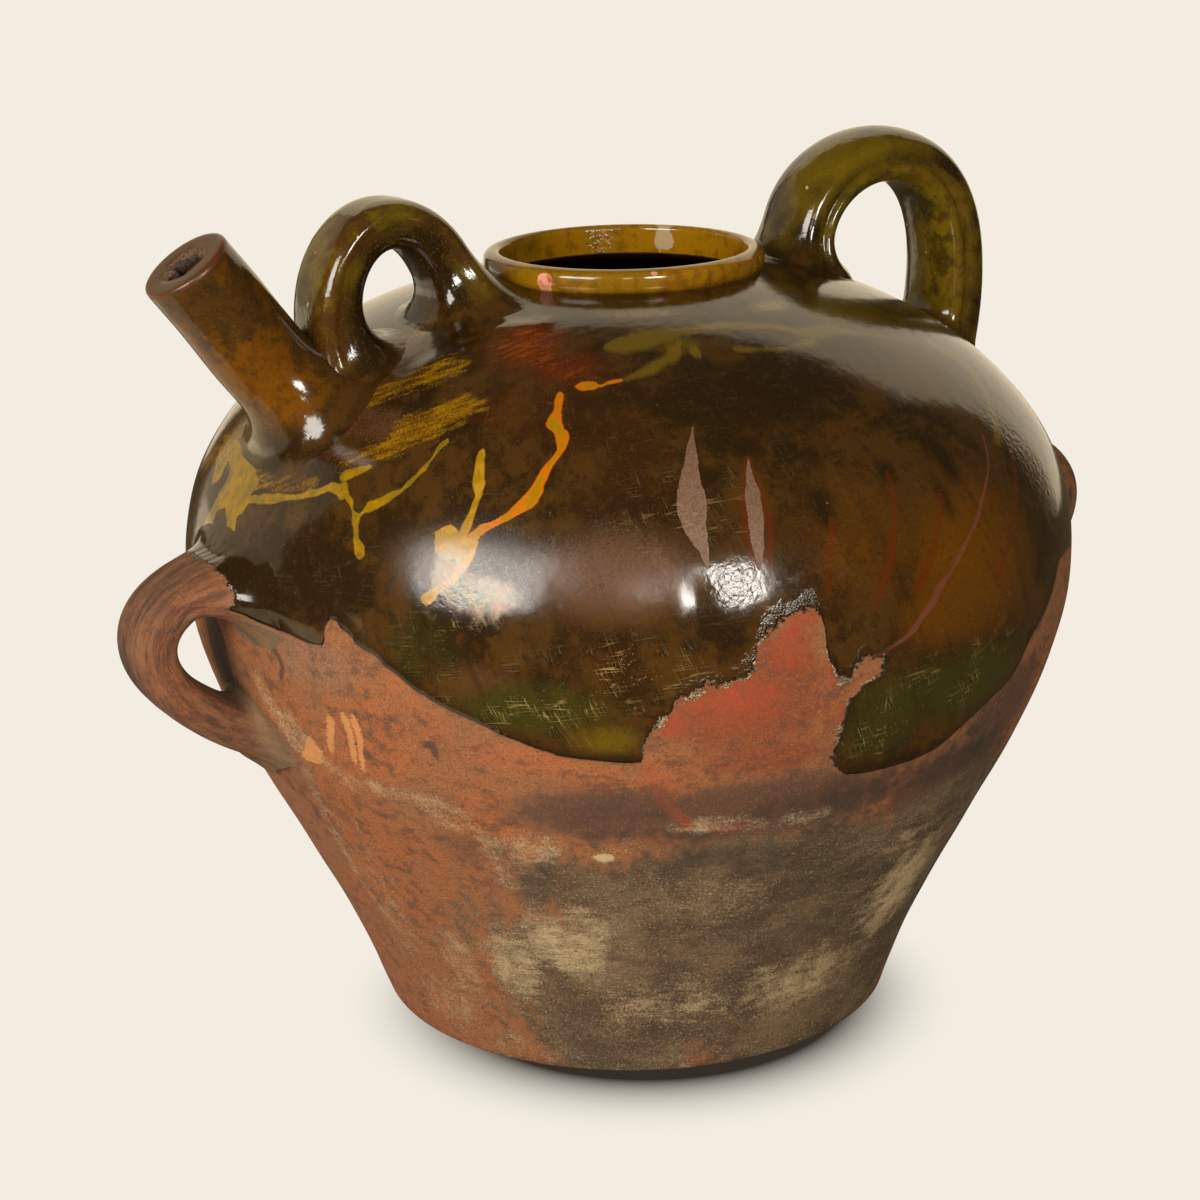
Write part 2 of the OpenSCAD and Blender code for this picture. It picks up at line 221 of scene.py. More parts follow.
OLIVE_LINES = (
    ((-1.5, 45.8, 46.4), (0.5, 46.4, 47.1), (2.0, 46.7, 47.8), (3.8, 47.0, 49.0), (5.8, 47.6, 50.0),
     (7.9, 48.8, 51.1), (9.5, 49.2, 52.6), (11.1, 50.3, 53.6), (12.0, 52.5, 54.8)),
    ((-4.4, 52.5, 53.7), (-3.1, 52.1, 54.7), (-0.3, 51.9, 55.9), (3.4, 52.4, 57.0), (7.2, 53.3, 57.3),
     (11.2, 54.3, 57.5), (15.5, 55.4, 57.6), (19.8, 55.7, 57.8), (24.2, 55.8, 58.1), (28.4, 55.6, 57.5),
     (32.2, 55.0, 56.8), (36.1, 54.5, 56.0), (39.6, 53.5, 55.1)),
    ((39.6, 53.5, 55.1), (41.9, 51.2, 53.9), (45.8, 50.3, 53.4), (51.0, 50.1, 53.1), (54.4, 49.3, 51.5),
     (56.9, 48.9, 49.9), (60.6, 47.5, 48.0), (64.4, 45.7, 46.1), (70.2, 43.2, 43.5)),
    ((13.6, 51.2, 51.8), (14.4, 50.1, 53.1), (15.4, 50.1, 52.8), (15.6, 50.8, 51.7)),
    ((23.1, 50.8, 51.4), (24.1, 50.3, 51.8), (26.1, 49.9, 51.6), (27.8, 49.9, 51.2), (29.4, 50.1, 50.6),
     (31.6, 49.5, 50.7), (33.0, 49.4, 50.4), (35.5, 49.6, 50.4), (38.2, 49.4, 50.8), (41.2, 49.4, 51.2),
     (43.3, 50.0, 51.0)))
# Clay wiped along the wall beside the roots, and dents: from, to, half width in degrees, height in mm
WIPED_RIDGES = (
    ((-54, 12.5), (-39, 11.2), 1.5, 2.0), ((-53, -1), (-47, -7), 1.6, 1.3),
    ((-57, 33), (-50, 36), 3, 1.2),
    ((9.6, 7), (7.6, 18), 1.5, -0.6), ((-40, 47), (-34, 50), 2.2, 0.9), ((-33, 56), (-22, 58), 1.8, 1.2),
    ((6, 11.5), (14, 9.0), 1.2, 0.5))

# Soft marks: ovals as round, up, half sizes and strength, strokes as from, to, half width and
# strength. Each fades from the inner part of its size to the outer one
MARK_INNER, MARK_OUTER = 0.2, 1.15
# First the washes of colour in the glaze, in the order they lie over each other
GLAZE_WASHES = {
    "red_glaze": (
        (-1, 36, 18, 15, 0.35), (-14, 42, 14, 12, 0.4), (-2, 10, 12, 6, 0.3)),
    "amber_glaze": ((30, 22, 16, 13, 0.5), (46, 17, 18, 15, 0.8), (40, 12, 13, 7, 0.7)),
    "hazed_glaze": ((-1, 20, 15, 8, 0.8), (14, 22, 8, 7, 0.35), (-17, 7.5, 8, 4, 0.6)),
    "rust_glaze": ((-22, 53, 15, 9, 0.8), (-12, 49, 13, 6, 0.65), (-20, 41, 8, 7, 0.4)),
    "green_glaze": ((-11, 5, 14, 5, 0.9), (-25, 11, 9, 6, 0.5), (31, 1, 9, 8, 1.0), (44, 2, 18, 7, 0.95)),
    "dark_glaze": (
        (-31, 48, 6, 5, 0.7), (22, 42, 22, 10, 0.9), (8, 42, 7, 10, 0.7), (11, 14, 3, 8, 0.5),
        (64, 13, 7, 14, 0.6),
        (-46, 16, 20, 7, 0.9), (-58, 32, 9, 6, 0.8), (-31, 24, 9, 5, 0.7),
        ((-43, 38), (-36, 40), 1.8, 0.8)),
    "olive_glaze": (
        (-3, 1.5, 6, 3, 0.8), (68, 54, 26, 7, 0.8), (-62, 30, 7, 6, 0.5), (-70, 30, 9, 7, 0.8),
        (12, 53, 8, 3, 0.7)),
    # Pale glaze below the collar, whose colour also paints in the reflection along the top of the shoulder
    "pale_sheen_glaze": ((46, 60, 12, 2.5, 0.7), (5, 62, 22, 2.2, 0.55))}
CLAY_WASHES = {
    "warm_clay": (
        (-30, -2, 18, 8, 0.5), (-42, -25, 14, 30, 0.6), (-12, -1.6, 14, 3.6, 0.9), (47, -7, 10, 3, 0.4)),
    "patch_clay": ((13, 6, 14, 10, 1.3), (16, -2, 12, 4, 1.0)),
    "mauve_clay": ((-41, 7, 12, 5, 0.8), (-50, -8, 5, 10, 0.6)),
    "burnt_clay": (
        (-4, -9.5, 18, 6, 1.1), (18, -10, 24, 7, 1.3), (-26, 2, 8, 3, 0.3), (-22, -17, 10, 5, 0.6),
        (56, -5, 14, 10, 1.1),
        (48, -12, 18, 7, 1.2), (-53, -14, 6, 16, 0.5), (0, -57, 60, 2.5, 0.8))}
# Then marks that one finish or another reads by name
SOFT_MARKS = {
    "flaked": (
        (12, 5.5, 9, 5, 0.85), (18.5, 11.5, 4, 5, 0.9), (5, 3.4, 3, 2, 1.3), (9, 7.6, 3, 1.6, 1.3),
        (20, 14.2, 3, 1.2, 1.3),
        (23.4, 8, 1.4, 2.4, 0.9), (25, 2, 1.2, 3, 1.0)),
    "orange_run": (
        ((1.2, -1.5), (3.9, -8.0), 1.6, 0.8), ((3.9, -8.0), (7.5, -12.2), 1.5, 1.0),
        ((7.5, -12.2), (13.5, -12.6), 1.3, 1.0)),
    "soot": (
        (27, -10.5, 20, 4.2, 0.85), (46, -10, 18, 5, 0.85), (10, -17.5, 17, 3.4, 0.75),
        (-62, -2, 8, 14, 0.7),
        (-2, -9, 12, 4, 0.45), (3, -14, 17, 3, 0.7), (17, -20.5, 8, 4, 0.75), (30, -36, 12, 7, 0.45),
        (-6, -54, 14, 4, 0.6),
        (58, -16, 12, 9, 0.6), (27, -15, 20, 3, 0.6)),
    "old_crust": (
        (20, -30, 40, 19, 2.2), (52, -30, 30, 20, 2.2), (2, -42, 36, 17, 1.9), (40, -48, 40, 14, 2.0),
        (-10, -23, 13, 9, 0.9), (-4, -50, 26, 12, 1.3), (-44, -3, 5, 6, 0.35), (-24, -36, 14, 16, 0.55)),
    "pale_crust": (
        (-11, -35, 13, 12, 0.86), (-22, -40, 9, 12, 0.78), (-33, -42, 7, 12, 0.62), (8, -46, 22, 7, 0.60),
        (33, -46, 22, 8, 0.74), (50, -34, 13, 15, 0.95), (-41, -50, 12, 9, 0.6), (-26, -55, 16, 5, 0.5),
        (44, -23, 12, 5, 0.50), (12, -26, 16, 8, 0.38),
        (-14, -16, 9, 5, 0.66), (-1, -15, 6, 3, 0.55), (-4, -17, 1.8, 1.2, 2.2), (10, -11.5, 7, 2, 0.70),
        (22, -12.5, 9, 2.5, 0.55), (-46, -32, 9, 26, 0.50), (0, -57, 60, 4, 0.40),
        ((-39, -9), (-26, -9.5), 2.2, 0.62),
        ((-46, -2), (-40, -10), 2.6, 0.55), ((-26, -12), (-14, -17), 2.4, 0.60),
        ((-27, -9), (-22, -11), 1.8, 0.7),
        ((-20, -17), (-18, -24), 2.0, 0.55), ((-48, -10), (-51, -30), 2.2, 0.5),
        ((5, -12), (17, -12.5), 1.6, 0.6),
        ((-52, 2), (-47, -6), 2.4, 0.65)),
    "green_stains": (
        (48, -6, 4, 5, 0.6), (53, -9, 5, 4, 0.8), (56, -3, 3, 3, 0.6), (62, 2, 4, 5, 0.5)),
    "yellow_smears": (
        ((-53.0, 50.0), (-48.0, 55.0), 2.2, 0.55), ((-45.0, 40.5), (-33.0, 47.0), 2.8, 0.8),
        ((-41.0, 44.0), (-36.0, 48.0), 2.6, 0.7), ((-34.5, 36.2), (-27.0, 40.3), 3.4, 1.1),
        ((-36.5, 32.8), (-29.0, 36.8), 1.9, 0.95), ((-42.0, 30.8), (-34.4, 34.2), 1.4, 0.6),
        ((-72.6, 28.0), (-59.3, 25.5), 3.0, 0.85), ((-78.0, 24.0), (-70.0, 30.0), 3.4, 0.8),
        ((-57.0, 25.5), (-45.0, 27.0), 1.6, 0.6), ((-27.5, 40.0), (-23.5, 41.0), 1.6, 0.75)),
    "brown_smears": (
        ((-52.0, 36.0), (-38.0, 36.5), 4.5, 1.0), ((-50.0, 33.0), (-40.0, 31.0), 3.0, 0.8),
        ((-46.0, 42.0), (-37.0, 41.0), 2.0, 0.7)),
    "patch_edges": (
        (15, 6, 19, 15, 0.55), (4, 3.6, 4, 1.6, 1.0), (7.5, 6.6, 3, 1.3, 0.9),
        (14.6, 12.3, 1.8, 1.8, 0.9),
        (23.4, 10.6, 1.5, 2.8, 1.1), (24.9, 8.2, 2.1, 1.9, 1.2), (28.3, 6.0, 1.6, 1.9, 1.1),
        (1.3, -0.5, 1.3, 1.6, 1.0), (26.4, 3.4, 1.3, 2.0, 0.8), (25.0, -0.5, 1.3, 2.6, 0.8)),
    "dark_blobs": (
        (24.8, 26.2, 2.2, 3.4, 1.3), (36.2, 29.0, 2.0, 2.2, 1.3), (47.2, 28.8, 2.6, 4.4, 1.2),
        (16.8, 34.5, 2.6, 2.2, 1.2), (43.5, 24.5, 1.8, 3.4, 1.0), (26.0, 32.5, 2.0, 3.0, 0.9)),
    "dull": ((-17.8, 22, 14, 8, 1.1), (-2, 22, 12, 8, 1.0), (12, 19, 7, 5, 0.12), (30, 22, 16, 12, 0.3),
        (-30, 44, 16, 12, 0.4)),
    "wrinkled": ((-169, 71, 12, 1.2, 2.5), (12.2, 18.8, 4.2, 3.6, 1.0), (3, 19, 2.6, 1.6, 0.5),
        (-20, 17.8, 5, 3, 0.8), (66, 24, 7, 14, 0.9)),
    # Pearly weathered glaze: the first two marks also paint in the broad pale highlight left of the middle,
    # the last is a painted glint at the spout's foot
    "pearly_and_highlight": ((-17.0, 17.6, 6.4, 3.2, 1.1), (-21.5, 20.0, 3.4, 4.4, 1.0), (-55.4, 34.4, 2.6, 1.1, 1.1)),
    "scratched": (
        (0, 10, 11, 4, 1.0), (-10, 5, 16, 5, 0.8), (31, 0, 7, 7, 0.8), (44, 4, 14, 6, 0.6),
        (-20, 13, 8, 6, 0.6),
        (8, 27, 12, 8, 0.3))}
# Chips on the collar: round, up, half sizes
COLLAR_CHIPS = ((-33, 68.9, 4.5, 0.7), (12, 69.6, 2.0, 0.5))
MOUTH_FLAKE = (160, 71.0, 7, 0.8)
# Thin red-brown runs: up, left and right
RED_RUNS = (
    ((24.5, 25.2, 25.9), (22.5, 24.6, 25.2), (20, 23.9, 24.3), (16.5, 23.0, 23.4)),
    ((28.6, 36.0, 36.5), (26, 35.2, 35.8), (22, 33.3, 34.1), (18, 31.3, 32.2), (14.5, 28.9, 29.6)),
    ((24.5, 42.5, 43.5), (21, 40.0, 41.0), (18, 37.6, 38.8), (15, 34.8, 36.0)),
    ((28, 64.8, 65.4), (23, 59.5, 60.1), (18, 53.8, 54.6), (14, 49.6, 50.2)),
    ((33, 16.2, 17.2), (27, 14.2, 14.8), (22, 14.2, 14.7)),
    ((31, 17.0, 17.5), (26, 17.1, 17.7), (21, 16.2, 16.8)))
# Dark slits on the clay, as up, left and right. The first, behind the front lug's opening, is soot with the
# lug's shade painted over it; the others are dark marks
DARK_SLITS_AND_LUG_SHADE = (
    ((7.6, -66.0, -61.7), (5.6, -65.9, -59.6), (3.0, -66.3, -59.0), (0.3, -66.4, -59.4),
     (-2.5, -65.3, -60.3),
     (-4.2, -63.9, -61.6)),
    ((8.1, -47.9, -47.4), (7.3, -47.5, -46.4), (6.2, -46.9, -45.5), (5.4, -46.5, -45.3),
     (4.0, -47.1, -45.8)),
    ((-0.7, -25.3, -23.4), (-1.6, -24.9, -23.3), (-2.8, -24.3, -23.5)))
BRUSH_MARKS = (
    ((0.4, -39.3, -38.4), (-0.3, -39.7, -38.2), (-2.3, -40.4, -39.0), (-4.8, -40.9, -40.1)),
    ((1.2, -36.9, -36.0), (0.3, -36.9, -35.6), (-1.5, -36.7, -35.6), (-3.4, -36.9, -35.8),
     (-5.4, -37.1, -36.3)),
    ((1.2, -35.4, -34.4), (0.2, -35.5, -34.2), (-1.6, -35.3, -34.2), (-3.4, -35.6, -34.6),
     (-6.4, -36.1, -35.3)),
    ((-3.8, -44.6, -43.6), (-5.0, -45.3, -42.8), (-6.1, -46.1, -42.6), (-7.2, -46.8, -43.0)))
# Where the honey glaze starts on the collar and in the mouth, and where the lugs' glaze ends
COLLAR_HEIGHTS = (317.8 * MM, 319.2 * MM)
MOUTH_RADII = (53.5 * MM, 52.5 * MM)
MOUTH_HEIGHTS = (290 * MM, 300 * MM)
LUG_GLAZE_REACH = 199 * MM
# Edges on the spout, in mm from its axis: the sooty ring round the bore, the bore and the outer rim
SPOUT_RING = (11.2, 10.2)
SPOUT_BORE = (9.2, 8.4)
SPOUT_RIM = 18
# How rough the bare clay is, how glassy the glaze is, and the tints of its weathered face, which also tint a
# painted highlight on it
BODY_ROUGH = 0.86
LUG_ROUGH = 0.8
GLAZE_IOR = 1.52
PEARL_TINTS = ((0.34, 0.20, 0.17, 1), (0.17, 0.21, 0.17, 1), (0.36, 0.27, 0.16, 1))

# The studio: colours of the floor and of the shade painted on it, and how bright the room is besides the
# lights
FLOOR_WIDTH = 16
FLOOR_DROP = 0.3 * MM
STUDIO_CREAM = (0.896, 0.847, 0.752)
PAINTED_FLOOR_SHADE = (0.035, 0.028, 0.020)
# The floor's painted shade: its middle, a little in front of the jug and to its side, and how fast it
# fades. It is dark inside the first radius and gone at the second
SHADE_MIDDLE = (30 * MM, 6 * MM)
SHADE_RADII = (88 * MM, 139 * MM)
SHADE_FALL = 2.2
DIM_ROOM = (0.092, 0.064, 0.034)
LIGHT_TINT = (1.0, 0.95, 0.88)
GLOW_TINT = (1.0, 0.84, 0.60)
# Soft lights: the point they are aimed at, then round, up and distance, size, brightness, and
# whether they show in the glaze
SOFT_LIGHTS = {
    "key": ((-0.058, -0.175, 0.233), (26.6, 21, 1.5), (0.36, 0.38), 32, True),
    "left_panel": ((-0.142, -0.115, 0.236), (-39, 24, 1.5), (0.84, 0.66), 14, True),
    "small_front": ((-0.088, -0.163, 0.233), (3.5, 21.5, 1.5), (0.11, 0.11), 26, True),
    "backdrop_glow": ((0, 0, 0.25), (172, 19, 1.7), (2.5, 1.9), 1.0, True),
    "left_glow": ((0, 0, 0.2), (-118, 12, 1.7), (1.6, 1.6), 0.5, True),
    "floor_glow": ((-0.1, 0, 0.25), (-105, -35, 1.7), (3.0, 2.0), 0.7, True),
    "front_fill": ((0, 0, 0.15), (-40, 10, 2.0), (1.6, 1.2), 1.5, False),
}


def measure(name, description, default, low, high):
    """A length in metres that a user can change."""
    return FloatProperty(name=name, description=description, default=default, min=low, max=high,
                         unit="LENGTH")


class JugSizes(bpy.types.PropertyGroup):
    """Sizes of the jug that a user would change."""

    foot_width: measure("Base", "Width of the base", 0.223, 0.18, 0.26)
    belly_width: measure("Belly", "Width at the widest ring", JUG_HIGH[1] - JUG_LOW[1], 0.35, 0.42)
    belly_height: measure("Belly height", "Height of the widest ring", 0.201, 0.18, 0.225)
    neck_height: measure(
        "Shoulder height", "Height at which the shoulder meets the collar", 0.318, 0.3, 0.345)
    wall: measure("Wall", "Thickness of the thrown wall", 0.0065, 0.005, 0.009)
    floor: measure("Floor", "Thickness of the floor", 0.008, 0.006, 0.012)
    mouth_width: measure("Mouth", "Clear width of the mouth", 0.104, 0.09, 0.112)
    collar_thickness: measure(
        "Collar thickness", "Thickness of the collar at its fullest", 0.0073, 0.006, 0.009)
    collar_height: measure("Collar height", "Height of the collar above the shoulder", 0.0095, 0.007, 0.016)
    lip: measure("Lip", "Thickness of the lip at the top", 0.0044, 0.003, 0.005)
    spout_length: measure("Spout", "Length of the spout above the shoulder", 0.078, 0.06, 0.095)
    spout_width: measure("Spout width", "Outer width of the spout", 0.0375, 0.034, 0.042)
    spout_bore: measure("Pouring bore", "Width of the pouring bore", 0.017, 0.012, 0.022)
    front_strap: measure("Spout handle", "Width of the strap behind the spout", 0.033, 0.026, 0.038)
    front_thickness: measure("Spout handle thickness", "Thickness of that strap", 0.021, 0.016, 0.024)
    rear_strap: measure("Rear handle", "Width of the rear strap", 0.039, 0.032, 0.044)
    rear_thickness: measure(
        "Rear handle thickness", "Thickness of the rear strap at its outer foot", 0.027, 0.02, 0.03)
    rear_neck_thickness: measure(
        "Rear neck thickness", "Thickness of the rear strap at the foot by the collar", 0.022, 0.017, 0.026)
    lug_width: measure("Lug", "Width of a lug", 0.036, 0.028, 0.04)
    lug_thickness: measure("Lug thickness", "Thickness of a lug", 0.0185, 0.014, 0.021)


def linear(part):
    """A screen colour's part, from 0 to 255, as light."""
    part /= 255
    return part / 12.92 if part <= 0.04045 else ((part + 0.055) / 1.055) ** 2.4


def colour(name, description, *screen):
    """A colour that a user can change, given as it shows on a screen."""
    return FloatVectorProperty(name=name, description=description, subtype="COLOR", size=3, min=0, max=1,
                               default=[linear(part) for part in screen])


class JugColours(bpy.types.PropertyGroup):
    """Colours of the clay, the glaze and the slips."""

    glaze: colour("Glaze", "Olive-brown lead glaze", 62, 40, 12)
    dark_glaze: colour("Dark glaze", "Where the glaze lies thick", 32, 20, 6)
    red_glaze: colour("Red-brown glaze", "Where the clay shows through the glaze", 72, 38, 12)
    rust_glaze: colour("Rust glaze", "Rust red beside the spout handle's foot", 86, 32, 6)
    amber_glaze: colour("Amber glaze", "Clear amber glaze on the right flank", 92, 54, 4)
    honey_glaze: colour("Honey glaze", "Clear honey glaze on the collar and in the mouth", 140, 98, 8)
    green_glaze: colour("Green glaze", "Deep green in the lower lobes", 48, 46, 12)
    olive_glaze: colour("Olive glaze", "Olive green on the shoulder", 88, 72, 10)
    hazed_glaze: colour("Hazed glaze", "Dull brown where the glaze is worn", 84, 54, 30)
    # Also paints in the grey-beige reflection along the top of the shoulder
    pale_sheen_glaze: colour("Beige glaze", "Thin pale glaze by the collar", 128, 108, 68)
    yellow_slip: colour("Yellow slip", "Yellow slip in the drips", 142, 106, 2)
    orange_slip: colour("Orange slip", "Orange slip in the long drip", 188, 92, 4)
    olive_slip: colour("Olive slip", "Slip under the glaze on the shoulder", 108, 88, 18)
    vivid_olive: colour("Vivid olive", "Olive green of the rear handle", 98, 78, 12)
    pale_slip: colour("Pale slip", "Pale end of the long drip", 165, 122, 30)
    clay: colour("Clay", "Fired terracotta", 124, 77, 42)
    warm_clay: colour("Warm clay", "Brighter terracotta", 140, 76, 32)
    bare_clay: colour("Flaked clay", "Clay bared where the glaze flaked off", 148, 50, 13)
    patch_clay: colour("Patch clay", "Brown-orange clay in the flaked patch", 120, 56, 20)
    mauve_clay: colour("Mauve clay", "Dull clay under the glaze's edge", 118, 84, 60)
    burnt_clay: colour("Burnt clay", "Brown scorched clay", 80, 51, 32)
    # Its darkness also paints in the shade on the jug's right side
    sooty_clay: colour("Sooty clay", "Grey-brown smoke stain", 48, 34, 24)
    old_crust: colour("Old crust", "Olive-grey crust near the base", 100, 84, 56)
    dark_crust: colour("Dark crust", "Darker olive-brown crust", 56, 45, 30)
    crust: colour("Crust", "Pale lime crust", 170, 150, 112)
    green_stain: colour("Green stain", "Green stain on the clay", 34, 48, 26)
    brushed_slip: colour("Brushed slip", "Ochre brush marks on the clay", 178, 122, 66)
    pink_chip: colour("Chip", "Pink clay in a chip of the collar", 205, 140, 110)
    bare_lens: colour("Bare lens", "Matt spots where the glaze pulled apart", 110, 86, 66)
    pink_run: colour("Pink run", "Pinkish line in the glaze", 104, 58, 44)
    scratch: colour("Scratch", "Pale scratches", 172, 148, 88)


# Curves


def cubic(a, b, c, d, steps):
    """Points of the cubic curve through a and d, pulled towards b and c."""
    a, b, c, d = (np.array(p, float) for p in (a, b, c, d))
    t = np.linspace(0, 1, steps + 1)[:, None]
    return (1 - t) ** 3 * a + 3 * (1 - t) ** 2 * t * b + 3 * (1 - t) * t ** 2 * c + t ** 3 * d


def lean(angle):
    """A direction that leans away from upright by the angle, in the plane of the handles."""
    return np.array([math.sin(angle), math.cos(angle)])


def flank_curve(sizes, inset, steps):
    """The flank from the base to the widest ring, moved in by the inset."""
    foot = np.array([sizes.foot_width / 2, 0])
    belly = np.array([sizes.belly_width / 2, sizes.belly_height])
    shift = np.array([inset, 0])
    foot = foot - shift / math.cos(FOOT_LEAN)
    belly = belly - shift
    return cubic(foot, foot + FOOT_PULL * lean(FOOT_LEAN), belly - (0, BELLY_PULL_LOW), belly, steps)


def shoulder_curve(sizes, inset, steps):
    """The shoulder from the widest ring to the collar, moved in by the inset."""
    neck_r = sizes.mouth_width / 2 + sizes.collar_thickness - COLLAR_UNDERCUT
    belly = np.array([sizes.belly_width / 2 - inset, sizes.belly_height])
    neck = np.array([neck_r, sizes.neck_height - inset])
    out = np.array([math.cos(SHOULDER_FALL), -math.sin(SHOULDER_FALL)])
    return cubic(belly, belly + (0, BELLY_PULL_HIGH - inset / 2), neck + (SHOULDER_PULL - inset / 2) * out,
                 neck, steps)


def thrown_swell(round_angle, up):
    """How far a hand-thrown wall stands out from the true round, by its angle and height."""
    lobes = 0.35 * np.sin(2 * round_angle + 1.1) + 0.25 * np.sin(3 * round_angle - 0.4)
    rings = 0.10 * np.sin(up / (9 * MM)) + 0.08 * np.sin(up / (5.3 * MM) + 2 * np.sin(round_angle))
    return (lobes + rings) * MM


def spots_on_jug(points):
    """How far round and up points lie on the jug, in degrees, as two columns."""
    turn = np.degrees(np.arctan2(points[:, 1], points[:, 0]) + FRONT_TURN)
    reach = np.hypot(points[:, 0], points[:, 1])
    up = np.degrees(np.arctan2(points[:, 2] - BELLY_MIDDLE, reach))
    return np.stack([(turn + 180) % 360 - 180, up], 1)


def from_line(spots, start, end):
    """How far spots lie from a line between two others."""
    way = np.subtract(end, start)
    away = spots - np.array(start)
    part = np.clip(away @ way / (way @ way), 0, 1)
    return np.linalg.norm(away - part[:, None] * way, axis=1)


def wiped_clay(points):
    """How far clay that was wiped along the wall stands out, and how deep the dents are."""
    spots = spots_on_jug(points)
    total = np.zeros(len(points))
    for start, end, half_width, rise in WIPED_RIDGES:
        total += rise * np.exp(-(from_line(spots, start, end) / half_width) ** 2)
    return total * MM


def soft_marks(spots, marks):
    """The strongest of several soft marks at each spot, 1 in the middle of a full one."""
    best = np.zeros(len(spots))
    for mark in marks:
        if isinstance(mark[0], tuple):
            gap = from_line(spots, mark[0], mark[1]) / mark[2]
        else:
            gap = np.linalg.norm((spots - mark[:2]) / mark[2:4], axis=1)
        part = np.clip((MARK_OUTER - gap) / (MARK_OUTER - MARK_INNER), 0, 1)
        best = np.maximum(best, part * part * (3 - 2 * part) * mark[-1])
    return best


class Skin:
    """The outer face of the thrown body, which roots and drips lie on."""

    def __init__(self, sizes):
        line = np.vstack([flank_curve(sizes, 0, 160), shoulder_curve(sizes, 0, 200)[1:]])
        along = np.gradient(line, axis=0)
        along /= np.linalg.norm(along, axis=1)[:, None]
        self.r, self.z = line.T
        self.outward = np.stack([along[:, 1], -along[:, 0]])
        self.top = sizes.neck_height

    def nearest(self, points):
        """For each point its height over the skin and the skin's normal there."""
        r, z = np.hypot(points[:, 0], points[:, 1]), points[:, 2]
        foot = np.clip(z, 0, self.top)
        for _ in range(10):
            out, rise = (np.interp(foot, self.z, part) for part in self.outward)
            height = (r - np.interp(foot, self.z, self.r)) * out + (z - foot) * rise
            foot = np.clip(z - height * rise, 0, self.top)
        turn = np.arctan2(points[:, 1], points[:, 0])
        normal = np.stack([out * np.cos(turn), out * np.sin(turn), rise], 1)
        return height - self.swell(points), normal

    def swell(self, points):
        """The thrown swell at these points, faded out at the base and under the collar."""
        fade = np.clip(points[:, 2] / (12 * MM), 0, 1) * np.clip((self.top - points[:, 2]) / (6 * MM), 0, 1)
        swell = thrown_swell(np.arctan2(points[:, 1], points[:, 0]), points[:, 2])
        return fade * (swell + wiped_clay(points))

    def shoulder_z(self, r):
        """Height of the shoulder at a distance from the axis."""
        widest = self.r.argmax()
        return float(np.interp(r, self.r[widest:][::-1], self.z[widest:][::-1]))

    def wall_r(self, z):
        """Distance of the wall from the axis at a height."""
        return float(np.interp(z, self.z, self.r))


# Making and shaping meshes


def clear_selection():
    """Leaves nothing selected and nothing active."""
    bpy.ops.object.select_all(action="DESELECT")
    bpy.context.view_layer.objects.active = None


def take(piece):
    """Selects one piece alone and makes it active."""
    clear_selection()
    piece.select_set(True)
    bpy.context.view_layer.objects.active = piece


def drawn_line(name, points, closed):
    """A curve object through the points, as straight pieces."""
    clear_selection()
    bpy.ops.curve.primitive_bezier_curve_add(location=(0, 0, 0))
    line = bpy.context.object
    line.name = name
    line.data.dimensions = "3D"
    line.data.splines.clear()
    spline = line.data.splines.new("POLY")
    spline.points.add(len(points) - 1)
    for spot, place in zip(spline.points, points):
        spot.co = (*place, 1)
    spline.use_cyclic_u = closed
    return line


def as_mesh(piece):
    """Turns a curve into a mesh."""
    take(piece)
    bpy.ops.object.convert(target="MESH")
    return bpy.context.object


def turned(name, outline, steps):
    """Spins an outline of distances and heights about the upright axis into a closed solid."""
    line = as_mesh(drawn_line(name, [(r, 0, z) for r, z in outline], False))
    bpy.ops.object.mode_set(mode="EDIT")
    bpy.ops.mesh.select_all(action="SELECT")
    bpy.ops.mesh.spin(steps=steps, angle=2 * math.pi, center=(0, 0, 0), axis=(0, 0, 1))
    bpy.ops.mesh.select_all(action="SELECT")
    bpy.ops.mesh.remove_doubles(threshold=0.02 * MM)
    bpy.ops.mesh.normals_make_consistent(inside=False)
    bpy.ops.object.mode_set(mode="OBJECT")
    return line


def places(piece):
    """The places of a mesh's points, as rows."""
    flat = np.empty(len(piece.data.vertices) * 3)
    piece.data.vertices.foreach_get("co", flat)
    return flat.reshape(-1, 3)


def move_points(piece, rows):
    """Puts a mesh's points at new places."""
    piece.data.vertices.foreach_set("co", np.ascontiguousarray(rows, float).ravel())
    piece.data.update()


def close_ends(piece):
    """Closes the open ends of a tube and turns all faces outwards."""
    take(piece)
    bpy.ops.object.mode_set(mode="EDIT")
    bpy.ops.mesh.select_all(action="SELECT")
    bpy.ops.mesh.fill_holes(sides=0)
    bpy.ops.mesh.select_all(action="SELECT")
    bpy.ops.mesh.normals_make_consistent(inside=False)
    bpy.ops.object.mode_set(mode="OBJECT")


def add_attribute(piece, name, values):
    """Keeps one number for each point of a mesh, for its finish to read."""
    layer = piece.data.attributes.new(name, "FLOAT", "POINT")
    layer.data.foreach_set("value", np.ascontiguousarray(values, np.float32))


def smooth_shade(piece, angle):
    """Shades smoothly, apart from edges sharper than the angle in degrees."""
    take(piece)
    bpy.ops.object.shade_smooth_by_angle(angle=math.radians(angle))


def settle(piece, finish):
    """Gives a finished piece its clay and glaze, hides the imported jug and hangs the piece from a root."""
    spots = spots_on_jug(places(piece))
    for name, marks in {**GLAZE_WASHES, **CLAY_WASHES, **SOFT_MARKS}.items():
        add_attribute(piece, name, soft_marks(spots, marks))
    piece.data.name = piece.name
    piece.data.materials.clear()
    piece.data.materials.append(finish)
    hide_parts("jug")
    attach(piece, "root")


# The thrown body


